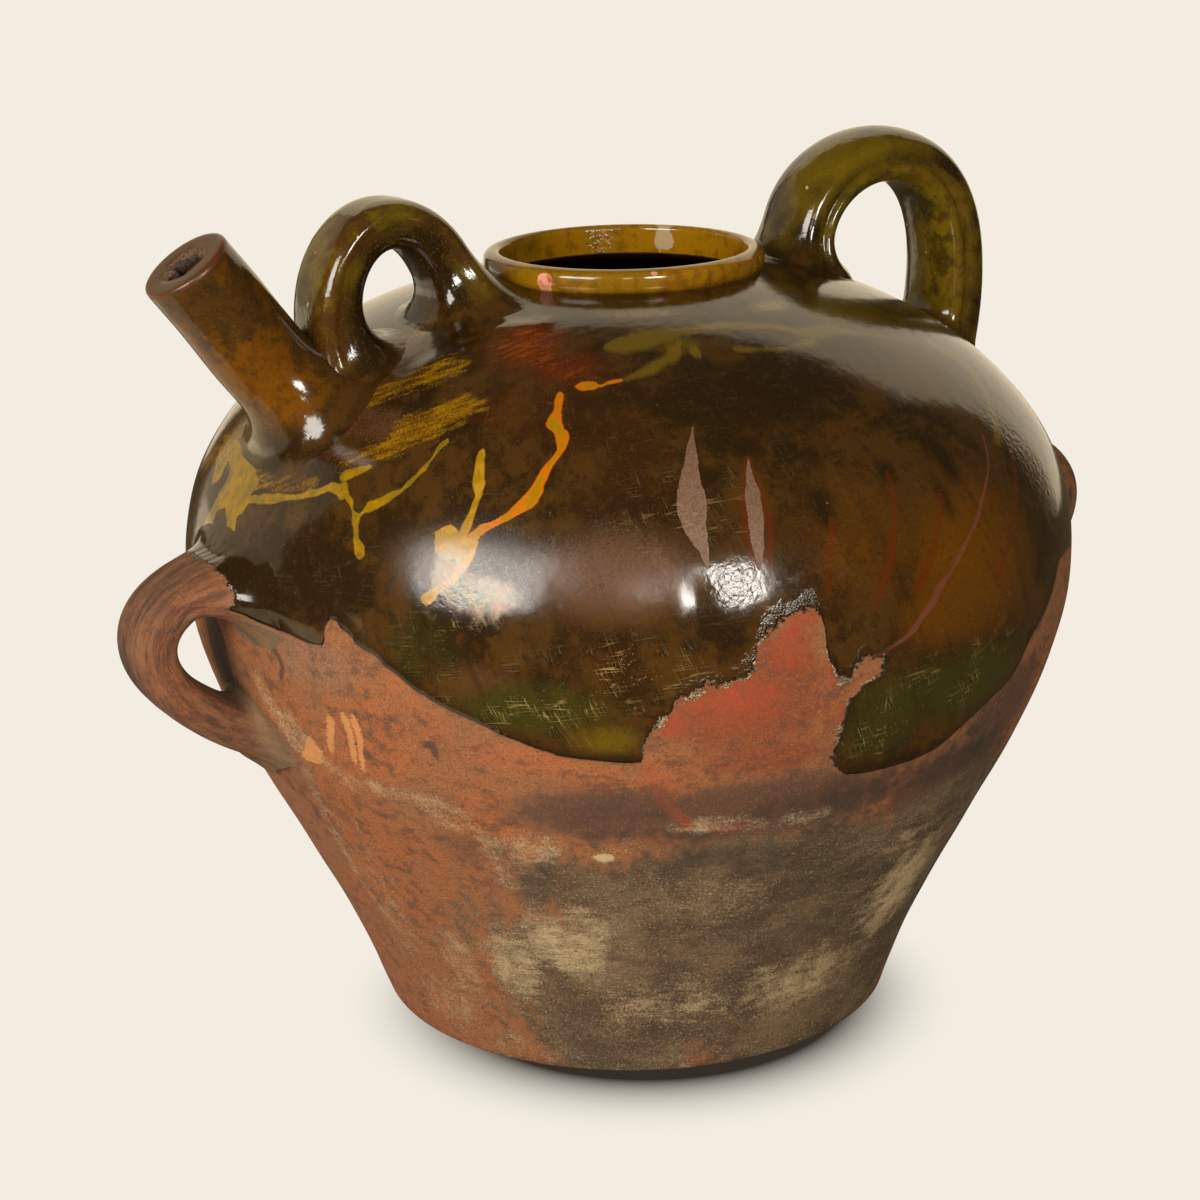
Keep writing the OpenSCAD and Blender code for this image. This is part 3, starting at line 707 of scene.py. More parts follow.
def collar_outline(sizes):
    """The collar's outline from the shoulder over the lip to the inside of the mouth."""
    mouth_r = sizes.mouth_width / 2
    neck_r = mouth_r + sizes.collar_thickness - COLLAR_UNDERCUT
    full_r = mouth_r + sizes.collar_thickness
    base, tall, lip = sizes.neck_height, sizes.collar_height, sizes.lip / 2
    top = base + tall
    points = [(neck_r - 0.2 * MM, base + 0.4 * MM), (neck_r + 0.5 * MM, base + 1.4 * MM)]
    points += [(full_r - 0.15 * MM, base + h * tall) for h in (0.27, 0.34)]
    points += [(full_r, base + h * tall) for h in (0.42, 0.50)]
    lip_x = mouth_r + lip
    outer_x, bend = full_r - 0.25 * MM, 0.34 * tall
    for angle in range(0, 90, 10):
        turn = math.radians(angle)
        points.append((lip_x + (outer_x - lip_x) * math.cos(turn), top - bend + bend * math.sin(turn)))
    for angle in range(90, 181, 15):
        turn = math.radians(angle)
        points.append((lip_x + lip * math.cos(turn), top - lip + lip * math.sin(turn)))
    points += [(mouth_r, top - drop * MM) for drop in (4, 6, 8, 10, 12)]
    return points


def body_outline(sizes):
    """Half of the body's outline, from the middle of the base round to the middle of the floor."""
    foot_r = sizes.foot_width / 2
    flank = flank_curve(sizes, 0, FLANK_STEPS)
    shoulder = shoulder_curve(sizes, 0, FLANK_STEPS)
    inner_flank = flank_curve(sizes, sizes.wall, INNER_STEPS)
    inner_shoulder = shoulder_curve(sizes, sizes.wall, INNER_STEPS)
    base = [(foot_r * part, 0) for part in (0, 0.2, 0.4, 0.6, 0.8, 0.9)]
    centre_x = foot_r - FOOT_ROUND / math.tan((math.pi / 2 + FOOT_LEAN) / 2)
    corner = []
    for angle in np.linspace(-math.pi / 2, -FOOT_LEAN, 6):
        corner.append((centre_x + FOOT_ROUND * math.cos(angle), FOOT_ROUND + FOOT_ROUND * math.sin(angle)))
    outline = base + corner + [tuple(p) for p in flank if p[1] > 2 * FOOT_ROUND]
    outline += [tuple(p) for p in shoulder[1:-1]] + collar_outline(sizes)
    mouth_r = sizes.mouth_width / 2
    outline += [tuple(p) for p in inner_shoulder[::-1] if p[0] > mouth_r + 1.5 * MM]
    outline += [tuple(p) for p in inner_flank[::-1][1:] if p[1] > sizes.floor + 2 * MM]
    floor_r = outline[-1][0] - 1.5 * MM
    outline += [(floor_r * part, sizes.floor) for part in (1, 0.75, 0.5, 0.25, 0)]
    return outline


def spout_axes(skin):
    """The middle of the spout's root on the shoulder, and the direction that it rises in."""
    root = Vector((-SPOUT_ROOT_R, 0, skin.shoulder_z(SPOUT_ROOT_R)))
    return root, Vector((-math.cos(SPOUT_RISE), 0, math.sin(SPOUT_RISE)))


def pierce_bore(body, sizes, skin):
    """Cuts the pouring bore through the body's wall under the spout."""
    root, rise = spout_axes(skin)
    clear_selection()
    bpy.ops.mesh.primitive_cylinder_add(
        vertices=BORE_STEPS, radius=sizes.spout_bore / 2, depth=6 * sizes.wall, location=root,
        rotation=(0, SPOUT_RISE - math.pi / 2, 0))
    drill = bpy.context.object
    cut = body.modifiers.new("bore", "BOOLEAN")
    cut.operation = "DIFFERENCE"
    cut.solver = "EXACT"
    cut.object = drill
    take(body)
    bpy.ops.object.modifier_apply(modifier=cut.name)
    bpy.data.objects.remove(drill, do_unlink=True)


def thrown_body(sizes, skin):
    """The hollow body with its collar, thrown slightly out of true."""
    body = turned("body", body_outline(sizes), ROUND_STEPS)
    rows = places(body)
    height, normal = skin.nearest(rows)
    on_skin = (np.abs(height + skin.swell(rows)) < 0.05 * MM) & (rows[:, 2] > 1 * MM)
    rows[on_skin] += normal[on_skin] * skin.swell(rows[on_skin])[:, None]
    move_points(body, rows)
    pierce_bore(body, sizes, skin)
    return body


# Roots


def spread_root(rows, skin, centre, reach, tall, webs):
    """Smooths a root out over the skin: points near the skin are pushed outwards along it.

    The webs are (direction, extra reach, narrowness), for clay that was wiped further one way."""
    height, normal = skin.nearest(rows)
    away = rows - np.array(centre)
    away -= normal * (away * normal).sum(1)[:, None]
    length = np.linalg.norm(away, axis=1)[:, None] + 1e-9
    away /= length
    spread = np.full(len(rows), float(reach))
    for direction, extra, narrow in webs:
        facing = np.clip(away @ (np.array(direction) / np.linalg.norm(direction)), 0, 1)
        spread += extra * facing ** narrow
    rise = tall * spread / reach
    part = np.clip(height / rise, 0, 1)
    push = spread * (1 - np.sqrt(1 - (1 - part) ** 2)) + 6 * np.clip(-height, 0, 0.5 * MM)
    moved = rows + away * push[:, None]
    new_height, new_normal = skin.nearest(moved)
    moved += new_normal * (height - new_height)[:, None]
    return seat(moved, skin)


def seat(rows, skin):
    """Keeps points no deeper in the wall than the seat."""
    height, normal = skin.nearest(rows)
    sunk = np.clip(-SEAT_DEPTH - height, 0, None)
    return rows + normal * sunk[:, None]


# Straps


def ring_places(a, b, c, d):
    """Places along a strap's curve, close together near both roots."""
    fine = cubic(a, b, c, d, 3000)
    run = np.concatenate([[0], np.cumsum(np.linalg.norm(np.diff(fine, axis=0), axis=1))])
    total = run[-1]
    root = np.arange(0, ROOT_RING_SPAN, ROOT_RING_STEP)
    arch = np.linspace(ROOT_RING_SPAN, total - ROOT_RING_SPAN,
                       int((total - 2 * ROOT_RING_SPAN) / ARCH_RING_STEP))
    along = np.concatenate([root, arch, total - root[::-1]])
    return np.stack([np.interp(along, run, fine[:, k]) for k in range(2)], 1), along / total


def whole_section(half):
    """A full cross-section from its half, smoothed, as rows of thickness and width parts."""
    half = np.array(half)
    other = half[-2:0:-1] * (1, -1)
    loop = np.vstack([half, other])
    for _ in range(2):
        ahead = np.roll(loop, -1, axis=0)
        cut = np.stack([0.75 * loop + 0.25 * ahead, 0.25 * loop + 0.75 * ahead], 1)
        loop = cut.reshape(-1, 2)
    return loop


def pulled_strap(name, curve, section, width, thick):
    """A strap of clay along a curve in the plane of the handles, closed at both ends.

    The width and the thickness are functions of the part of the way along."""
    centres, along = ring_places(*curve)
    loop = whole_section(section)
    path = drawn_line(name, [(x, 0, z) for x, z in centres], False)
    shape = drawn_line(name + "_section", [(u * MM, v * MM, 0) for u, v in loop], True)
    path.data.bevel_mode = "OBJECT"
    path.data.bevel_object = shape
    strap = as_mesh(path)
    bpy.data.objects.remove(shape, do_unlink=True)
    ahead = np.gradient(centres, axis=0)
    ahead /= np.linalg.norm(ahead, axis=1)[:, None]
    u = loop[None, :, 0] * (thick(along) / 2)[:, None]
    v = loop[None, :, 1] * (width(along) / 2)[:, None]
    x = centres[:, None, 0] - ahead[:, None, 1] * u
    z = centres[:, None, 1] + ahead[:, None, 0] * u
    grid = np.stack([x, v + 0 * x, z], 2)
    if len(strap.data.vertices) != grid.shape[0] * grid.shape[1]:
        raise RuntimeError("strap %s has %d points, not %d by %d"
                           % (name, len(strap.data.vertices), grid.shape[0], grid.shape[1]))
    move_points(strap, grid.reshape(-1, 3))
    close_ends(strap)
    add_attribute(strap, "along", np.repeat(along, len(loop)))
    add_attribute(strap, "outward", np.tile(loop[:, 0], len(along)))
    add_attribute(strap, "across", np.tile(loop[:, 1], len(along)))
    return strap


def shaped(strap, skin, roots):
    """Beds both roots of a strap. Each root is its place, reach, height and webs."""
    rows = places(strap)
    half = len(rows) // 2
    ends = (rows[:half], rows[half:])
    rows = np.vstack([spread_root(part, skin, *root) for part, root in zip(ends, roots)])
    move_points(strap, rows)
    add_attribute(strap, "above", skin.nearest(rows)[0] / MM)
    return strap


def handle_curve(skin, feet, side):
    """The curve of a handle from its outer foot to its foot by the collar."""
    out = np.array([side, 1])
    curve = []
    for reach, pull, leaning in feet:
        foot = np.array([side * reach, skin.shoulder_z(reach) - ROOT_SINK])
        curve.append([foot, foot + pull * lean(leaning) * out])
    return curve[0] + curve[1][::-1]


def handle_roots(skin, feet, roots, side):
    """The roots of a handle, each with its place on the shoulder first."""
    return [((side * foot[0], 0, skin.shoulder_z(foot[0])), *root) for foot, root in zip(feet, roots)]


def make_spout_handle(sizes, skin):
    """The small handle between the spout and the collar."""
    strap = pulled_strap("spout_handle", handle_curve(skin, FRONT_FEET, -1), FRONT_SECTION,
                         lambda f: sizes.front_strap * (1 + 0.03 * np.sin(7 * f + 1)),
                         lambda f: sizes.front_thickness * (1 + 0.03 * np.sin(9 * f)))
    return shaped(strap, skin, handle_roots(skin, FRONT_FEET, FRONT_ROOTS, -1))


def make_rear_handle(sizes, skin):
    """The large handle opposite the spout."""
    thin = sizes.rear_neck_thickness - sizes.rear_thickness
    strap = pulled_strap("rear_handle", handle_curve(skin, REAR_FEET, 1), REAR_SECTION,
                         lambda f: sizes.rear_strap * (1 + 0.02 * np.sin(6 * f + 2)),
                         lambda f: sizes.rear_thickness + thin * f)
    return shaped(strap, skin, handle_roots(skin, REAR_FEET, REAR_ROOTS, 1))


def lug_ends(sizes, skin, sink):
    """Distance and height of a lug's lower and upper end below the spout, sunk into the wall."""
    heights = (sizes.belly_height - LUG_DROP, sizes.belly_height + LUG_TOP)
    return [np.array([-skin.wall_r(height) + sink, height]) for height in heights]


def lug_curve(sizes, skin):
    """The curve of a lug from its lower root to its upper root."""
    low, top = lug_ends(sizes, skin, ROOT_SINK)
    climb = np.array([-math.cos(LUG_LOW_CLIMB), math.sin(LUG_LOW_CLIMB)])
    droop = np.array([-math.cos(LUG_TOP_DROOP), -math.sin(LUG_TOP_DROOP)])
    return low, low + LUG_LOW_PULL * climb, top + LUG_TOP_PULL * droop, top


def lug_roots(sizes, skin, turn):
    """The roots of a lug that stands round by the turn."""
    spin = Matrix.Rotation(turn, 3, "Z")
    low, top = (spin @ Vector((x, 0, z)) for x, z in lug_ends(sizes, skin, 0))
    side = spin @ Vector((0.1, -1, -0.25))
    other = spin @ Vector((0.1, 1, -0.25))
    down = Vector((0, 0, -1))
    return ((low, 7 * MM, 7 * MM, ((down, 16 * MM, 3), (side, 5 * MM, 3))),
            (top, 9 * MM, 8 * MM, ((side, 26 * MM, 5), (other, 20 * MM, 5))))


def make_lugs(sizes, skin):
    """The two lugs at the belly. The second is a turned copy of the first."""
    front = pulled_strap("front_lug", lug_curve(sizes, skin), LUG_SECTION,
                         lambda f: sizes.lug_width * (1 + 0.04 * np.sin(5 * f)),
                         lambda f: sizes.lug_thickness * (1 + 0.04 * np.sin(7 * f + 1)))
    rear = front.copy()
    rear.data = front.data.copy()
    rear.name = "rear_lug"
    bpy.context.collection.objects.link(rear)
    turn = math.pi + REAR_LUG_TURN
    rear.data.transform(Matrix.Rotation(turn, 4, "Z"))
    shaped(front, skin, lug_roots(sizes, skin, 0))
    shaped(rear, skin, lug_roots(sizes, skin, turn))
    return [front, rear]


# The spout


def spout_outline(sizes):
    """The spout's closed outline: distance from its axis and place along it."""
    outer, bore, length = sizes.spout_width / 2, sizes.spout_bore / 2, sizes.spout_length
    low = [(outer, z) for z in np.arange(-SPOUT_SUNK, 22 * MM, ROOT_RING_STEP)]
    high = [(outer, z) for z in np.linspace(22 * MM, length - 2 * MM, 26)]
    edge = [(outer - 0.1 * MM, length - 1.2 * MM), (outer - 0.45 * MM, length - 0.5 * MM),
            (outer - 1.1 * MM, length - 0.1 * MM), (outer - 2 * MM, length)]
    cut = [(outer - 4 * MM, length), (outer - 6 * MM, length - 0.1 * MM), (bore + 2 * MM, length - 0.3 * MM),
           (bore + 0.8 * MM, length - 0.9 * MM), (bore + 0.1 * MM, length - 2.4 * MM)]
    inside = [(bore, z) for z in np.linspace(length - 5 * MM, -SPOUT_SUNK, 24)]
    return low + high + edge + cut + inside


def make_spout(sizes, skin):
    """The tube spout with its cut end and pierced bore."""
    outline = spout_outline(sizes)
    spout = turned("spout", outline + outline[:1], SPOUT_STEPS)
    root, rise = spout_axes(skin)
    rows = places(spout)
    turn = np.arctan2(rows[:, 1], rows[:, 0])
    from_axis = np.hypot(rows[:, 0], rows[:, 1])
    add_attribute(spout, "from_axis", from_axis / MM)
    add_attribute(spout, "along", rows[:, 2] / sizes.spout_length)
    ragged = np.clip(1 - (from_axis - sizes.spout_bore / 2) / (3 * MM), 0, 1)
    uneven = 0.010 * np.sin(rows[:, 2] / (7 * MM) + turn) + 0.008 * np.sin(2 * turn + rows[:, 2] / (15 * MM))
    uneven -= ragged * (0.16 + 0.12 * np.sin(3 * turn + 1) + 0.10 * np.sin(5 * turn + 2.5)
                        + 0.05 * np.sin(9 * turn))
    rows[:, :2] *= 1 + uneven[:, None]
    tip = np.clip((rows[:, 2] - 0.8 * sizes.spout_length) / (0.2 * sizes.spout_length), 0, 1)
    rows[:, 2] += tip * (-math.tan(SPOUT_CUT) * rows[:, 0])
    place = Matrix.Translation(root) @ Matrix.Rotation(SPOUT_RISE - math.pi / 2, 4, "Y")
    rows = rows @ np.array(place.to_3x3()).T + np.array(root)
    from_axis = np.linalg.norm(np.cross(rows - np.array(root), np.array(rise)), axis=1)
    outer = from_axis > sizes.spout_width / 2 - 3 * MM
    rows[outer] = spread_root(rows[outer], skin, root, *SPOUT_ROOT)
    rows[~outer] = seat(rows[~outer], skin)
    move_points(spout, rows)
    add_attribute(spout, "above", skin.nearest(rows)[0] / MM)
    return spout


# Node recipes


def add_node(tree, kind, inputs=None, **settings):
    """Adds a node with its settings. Its inputs are given values, or sockets to link to."""
    node = tree.nodes.new(kind)
    for key, value in settings.items():
        setattr(node, key, value)
    for key, value in (inputs or {}).items():
        if isinstance(value, bpy.types.NodeSocket):
            tree.links.new(value, node.inputs[key])
        else:
            node.inputs[key].default_value = value
    return node


class Wire:
    """One value on its way through a finish."""

    def __init__(self, finish, socket):
        self.finish = finish
        self.socket = socket

    def __add__(self, other):
        return self.finish.math("ADD", self, other)

    def __sub__(self, other):
        return self.finish.math("SUBTRACT", self, other)

    def __rsub__(self, other):
        return self.finish.math("SUBTRACT", other, self)

    def __mul__(self, other):
        return self.finish.math("MULTIPLY", self, other)

    __radd__ = __add__
    __rmul__ = __mul__


class Finish:
    """Builds one finish from nodes. It knows where on the jug a point lies."""

    def __init__(self, name):
        self.material = bpy.data.materials.new(name)
        self.material.use_nodes = True
        self.tree = self.material.node_tree
        self.shader = self.tree.nodes["Principled BSDF"]
        self.colours = bpy.context.scene.jug_colours
        self.find_place()

    def node(self, kind, inputs=None, output=0, **settings):
        """Adds a node and gives one of its outputs. Its inputs are wires or plain values."""
        fed = {}
        for key, value in (inputs or {}).items():
            fed[key] = value.socket if isinstance(value, Wire) else value
        return Wire(self, add_node(self.tree, kind, fed, **settings).outputs[output])

    def math(self, operation, *values):
        return self.node("ShaderNodeMath", dict(enumerate(values)), operation=operation)

    def vector(self, operation, *values):
        output = "Value" if operation == "LENGTH" else "Vector"
        return self.node("ShaderNodeVectorMath", dict(enumerate(values)), output, operation=operation)

    def combine(self, *parts):
        return self.node("ShaderNodeCombineXYZ", dict(enumerate(parts)))

    def attribute(self, name):
        return self.node("ShaderNodeAttribute", output="Fac", attribute_name=name)

    def noise(self, place, size, detail=3, rough=0.55):
        """Random clouds around 0.5 that are about this size in metres."""
        return self.node("ShaderNodeTexNoise", {
            "Vector": place, "Scale": 1 / size, "Detail": detail, "Roughness": rough})

    def ramp(self, value, low, high, soft=True):
        """0 on the low side, 1 on the high side."""
        return self.node("ShaderNodeMapRange", {"Value": value, "From Min": low, "From Max": high}, "Result",
                         interpolation_type="SMOOTHSTEP" if soft else "LINEAR", clamp=True)

    def mix(self, part, first, second):
        """A colour that goes from the first to the second. A name stands for one of the jug's colours."""
        first, second = ((*getattr(self.colours, end), 1) if isinstance(end, str) else end
                         for end in (first, second))
        return self.node("ShaderNodeMix", {0: part, 6: first, 7: second}, 2, data_type="RGBA")

    def lay(self, shade, paint, cover, low, high, most):
        """Lays a paint over a shade where the cover goes from low to high, up to this part."""
        return self.mix(self.ramp(cover, low, high) * most, shade, paint)

    def curve(self, value, rows):
        """A smooth line through rows of a value and what it gives there."""
        rows = sorted(rows)
        low, high = rows[0][0], rows[-1][0]
        bottom, top = min(row[1] for row in rows), max(row[1] for row in rows)
        spots = [((x - low) / (high - low), (y - bottom) / (top - bottom)) for x, y in rows]
        node = add_node(self.tree, "ShaderNodeFloatCurve")
        line = node.mapping.curves[0]
        line.points[0].location = spots[0]
        line.points[1].location = spots[-1]
        for spot in spots[1:-1]:
            line.points.new(*spot)
        for point in line.points:
            point.handle_type = "AUTO_CLAMPED"
        node.mapping.update()
        self.tree.links.new(self.ramp(value, low, high, soft=False).socket, node.inputs["Value"])
        return Wire(self, node.outputs[0]) * (top - bottom) + bottom

    def largest(self, wires):
        """The largest of several wires. They are made one at a time, because a shader holds only a few."""
        best = None
        for wire in wires:
            best = self.math("MAXIMUM", best, wire) if best else wire
        return best

    def find_place(self):
        """Works out where a point lies: degrees round and up, and how many mm a degree is there."""
        self.place = self.node("ShaderNodeTexCoord", output="Object")
        turn = self.node("ShaderNodeVectorRotate", {"Vector": self.place, "Angle": FRONT_TURN},
                         rotation_type="Z_AXIS")
        parts = add_node(self.tree, "ShaderNodeSeparateXYZ", {0: turn.socket})
        x, y, self.height = (Wire(self, socket) for socket in parts.outputs)
        self.reach = self.math("SQRT", x * x + y * y)
        above = self.height - BELLY_MIDDLE
        shake = self.noise(self.place, 0.006, 2) - 0.5
        self.round = self.math("ARCTAN2", y, x) * math.degrees(1) + shake * 0.5
        self.up = self.math("ARCTAN2", above, self.reach) * math.degrees(1) + shake * 0.35
        self.per_round = self.reach * (math.radians(1) / MM)
        self.per_up = self.math("SQRT", self.reach * self.reach + above * above) * (math.radians(1) / MM)
        self.grain = self.noise(self.place, 0.0013, 2, 0.7)
        self.speckle = (self.noise(self.place, 0.0008, 1, 0.6) - 0.5) * 2.4 + (self.grain - 0.5) * 1.2
        self.mottle = self.noise(self.place, 0.006, 3, 0.65)
        self.clouds = self.noise(self.place, 0.035, 2)
        self.ragged = (self.mottle - 0.5) * 0.9 + self.speckle * 0.12 + (self.clouds - 0.5) * 0.5
        level = self.vector("MULTIPLY", self.place, (1, 1, 3))
        self.streaks = self.noise(level, 0.014, 4, 0.75)

    def spot(self, round_at, up_at, half_round, half_up):
        """1 in the middle of a soft oval on the jug, 0 outside it."""
        away = self.vector("MULTIPLY_ADD", self.combine(self.round, self.up, 0),
                           (1 / half_round, 1 / half_up, 0), (-round_at / half_round, -up_at / half_up, 0))
        return self.ramp(self.vector("LENGTH", away), MARK_OUTER, MARK_INNER)

    def washed(self, shade, washes):
        """Lays washes of colour over a shade, each with a ragged edge."""
        for name in washes:
            shade = self.mix(self.ramp(self.attribute(name) + self.ragged, 0.15, 0.95), shade, name)
        return shade

    def band(self, along, across, rows, scale):
        """How deep a point lies between two edges, in mm. Outside it is below 0."""
        rows = sorted(rows)
        ends = [(rows[0][0] - 0.8, -1)], [(rows[-1][0] + 0.8, -1)]
        middle = self.curve(along, [(at, (low + high) / 2) for at, low, high in rows])
        half = self.curve(along, ends[0] + [(at, (high - low) / 2) for at, low, high in rows] + ends[1])
        return (half - self.math("ABSOLUTE", across - middle)) * scale

    def drips(self, tables):
        return self.largest(self.band(self.up, self.round, rows, self.per_round) for rows in tables)

    def lines(self, tables):
        return self.largest(self.band(self.round, self.up, rows, self.per_up) for rows in tables)

    def scratches(self, slant, size):
        """Thin straight scratches that rise by the slant, in broken bundles."""
        along = self.round * 0.06 + self.up * (0.06 * slant)
        across = self.up - self.round * slant
        cloud = self.noise(self.combine(along, across, self.reach * 40), size, 1, 0.4)
        near = self.math("ABSOLUTE", cloud - 0.5)
        return self.ramp(near, 0.018, 0.004) * self.ramp(self.noise(self.place, 0.012, 2), 0.47, 0.60)

    def finish(self, shade, rough, bump):
        """Joins colour, roughness and the bumps, in mm, to the shader."""
        raised = self.node("ShaderNodeBump", {"Distance": MM, "Height": bump})
        for name, wire in (("Base Color", shade), ("Roughness", rough), ("Normal", raised)):
            self.tree.links.new(wire.socket, self.shader.inputs[name])
        self.shader.inputs["IOR"].default_value = GLAZE_IOR
        return self.material


# Finishes


def glaze_depth(f):
    """How far inside the glaze a point lies, in mm: above its lower edge and off the flaked patch."""
    edge = f.curve(f.round, GLAZE_EDGE_LEFT) + f.curve(f.round, GLAZE_EDGE_RIGHT) - GLAZE_EDGE_RIGHT[0][1]
    behind = f.ramp(f.math("ABSOLUTE", f.round), 70, 95)
    edge = edge + (f.noise(f.place, 0.06, 2) - 0.55) * behind * 40
    above = (f.up - edge) * f.per_up
    flaked = (f.noise(f.place, 0.005, 4, 0.75) - 0.5) * 4.5
    over = (f.up - f.curve(f.round, PATCH_TOP) + flaked) * f.per_up
    beside = (f.round - f.curve(f.up, PATCH_SIDE) + flaked) * f.per_round
    outside_patch = f.largest([over, beside, (0.6 - f.round) * f.per_round])
    return f.math("MINIMUM", above, outside_patch)


def flaked_clay(f, shade):
    """Bright clay where the glaze flaked off, in ragged patches."""
    open_clay = f.ramp(f.attribute("flaked") + (f.mottle - 0.5) * 1.2 + f.speckle * 0.2, 0.2, 1.0)
    red = f.mix(f.ramp(f.speckle + (f.mottle - 0.5) * 3, -0.8, 0.9), "patch_clay", "bare_clay")
    shade = f.mix(open_clay * 0.8, shade, red)
    run = f.attribute("orange_run")
    return f.lay(shade, "bare_clay", run + f.speckle * 0.25 + (f.mottle - 0.5), 0.3, 1.2, 0.45)


def crusted(f, shade):
    """Old olive-grey crust, with pale lime crust over it where the clay was wiped."""
    wiped = f.noise(f.vector("MULTIPLY", f.place, (1, 1, 0.35)), 0.009, 3, 0.7)
    cover = f.attribute("old_crust")
    film = f.ramp(cover + f.speckle * 0.25 + (f.mottle - 0.5) * 1.0 + (wiped - 0.5) * 1.2, 0.22, 0.85)
    cloudy = (f.clouds - 0.5) * 3 + (f.streaks - 0.5) * 3
    old = f.mix(f.ramp(f.speckle + cloudy, -0.8, 0.8), "dark_crust", "old_crust")
    shade = f.mix(film * 0.9, shade, old)
    shade = f.mix(film * f.ramp(f.speckle, 0.30, 0.80) * 0.5, shade, "crust")
    shade = f.mix(film * f.ramp(f.speckle, -0.30, -0.80) * 0.5, shade, "sooty_clay")
    soot = f.ramp(f.attribute("soot") + f.ragged + (wiped - 0.5) * 1.4 + (f.streaks - 0.5) * 0.8, 0.05, 1.3)
    shade = f.mix(soot * 0.85, shade, "sooty_clay")
    pale = f.attribute("pale_crust")
    broken = f.speckle * 0.34 + (f.streaks - 0.5) * 1.3 + (wiped - 0.5) * 1.1
    lime = f.ramp(pale + 0.1 + broken, 0.40, 1.45)
    return f.mix(lime * 0.85, shade, "crust"), lime


def clay_looks(f):
    """Colour and bumps of the bare clay with its smoke and crust."""
    shade = f.mix(f.ramp(f.clouds + (f.mottle - 0.5) * 0.6, 0.36, 0.64), "clay", "warm_clay")
    shade = f.washed(shade, CLAY_WASHES)
    shade = f.lay(shade, "burnt_clay", f.streaks + (f.mottle - 0.5) * 0.9, 0.46, 0.74, 0.7)
    shade = f.lay(shade, "burnt_clay", f.mottle + (f.clouds - 0.5) * 0.9, 0.50, 0.74, 0.45)
    shade = f.lay(shade, "burnt_clay", f.speckle, 0.05, -0.65, 0.7)
    shade = f.lay(shade, "brushed_slip", f.speckle, 0.05, 0.75, 0.25)
    shade = flaked_clay(f, shade)
    shade, lime = crusted(f, shade)
    shade = f.mix(f.attribute("green_stains") * f.ramp(f.mottle, 0.46, 0.60) * 0.7, shade, "green_stain")
    brushed = f.ramp(f.drips(BRUSH_MARKS) + f.speckle * 1.6, -0.5, 0.9)
    shade = f.mix(brushed * 0.75, shade, "brushed_slip")
    # Dark slits; the one behind the front lug also paints in the lug's shade
    slits_and_shade = f.ramp(f.drips(DARK_SLITS_AND_LUG_SHADE) + (f.mottle - 0.5) * 4 + f.speckle * 0.5, -0.4, 1.8)
    shade = f.mix(slits_and_shade * 0.75, shade, "sooty_clay")
    bump = f.speckle * 0.07 + (f.streaks - 0.5) * 0.60 + lime * 0.2 + (f.mottle - 0.5) * 0.5
    return shade, bump


def glaze_looks(f):
    """Colour, roughness and bumps of the glaze without its slips."""
    shade = f.mix(f.ramp(f.clouds + (f.mottle - 0.5) * 0.6, 0.38, 0.62), "glaze", "dark_glaze")
    shade = f.washed(shade, GLAZE_WASHES)
    shade = f.lay(shade, "dark_glaze", f.mottle + f.speckle * 0.06, 0.50, 0.68, 0.40)
    run_down = f.noise(f.combine(f.round + f.up * 0.35, f.up * 0.12, 0), 3.2, 2, 0.6)
    shade = f.lay(shade, "dark_glaze", run_down, 0.50, 0.68, 0.35)
    shade = f.lay(shade, "amber_glaze", f.speckle, 0.15, 0.85, 0.35)
    shade = f.lay(shade, "dark_glaze", f.speckle, -0.15, -0.85, 0.45)
    dull = f.attribute("dull")
    rough = 0.12 + dull * (0.17 + f.speckle * 0.10) + f.ramp(f.mottle, 0.5, 0.8) * 0.10
    bump = (f.noise(f.place, 0.012, 2) - 0.5) * 0.10 + (f.mottle - 0.5) * 0.04 + f.speckle * 0.003
    return shade, rough, bump


def honeyed(f, shade):
    """Clear honey glaze on the collar and inside the mouth."""
    collar = f.ramp(f.height, *COLLAR_HEIGHTS)
    inside = f.ramp(f.reach, *MOUTH_RADII) * f.ramp(f.height, *MOUTH_HEIGHTS)
    honey = f.mix(f.ramp(f.mottle + f.speckle * 0.06, 0.46, 0.64) * 0.6, "honey_glaze", "amber_glaze")
    honey = f.lay(honey, "olive_glaze", f.clouds, 0.5, 0.6, 0.4)
    chips = f.largest(f.spot(*chip) for chip in COLLAR_CHIPS)
    chips = f.ramp(chips + (f.mottle - 0.5) * 1.4, 0.4, 0.5)
    honey = f.mix(chips, honey, f.mix(f.ramp(f.mottle, 0.5, 0.8), "pink_chip", "bare_clay"))
    flake = f.ramp(f.spot(*MOUTH_FLAKE) + (f.mottle - 0.5) * 1.2, 0.35, 0.5)
    honey = f.mix(flake * 0.9, honey, "crust")
    return f.mix(f.largest([collar, inside]) * 0.92, shade, honey)


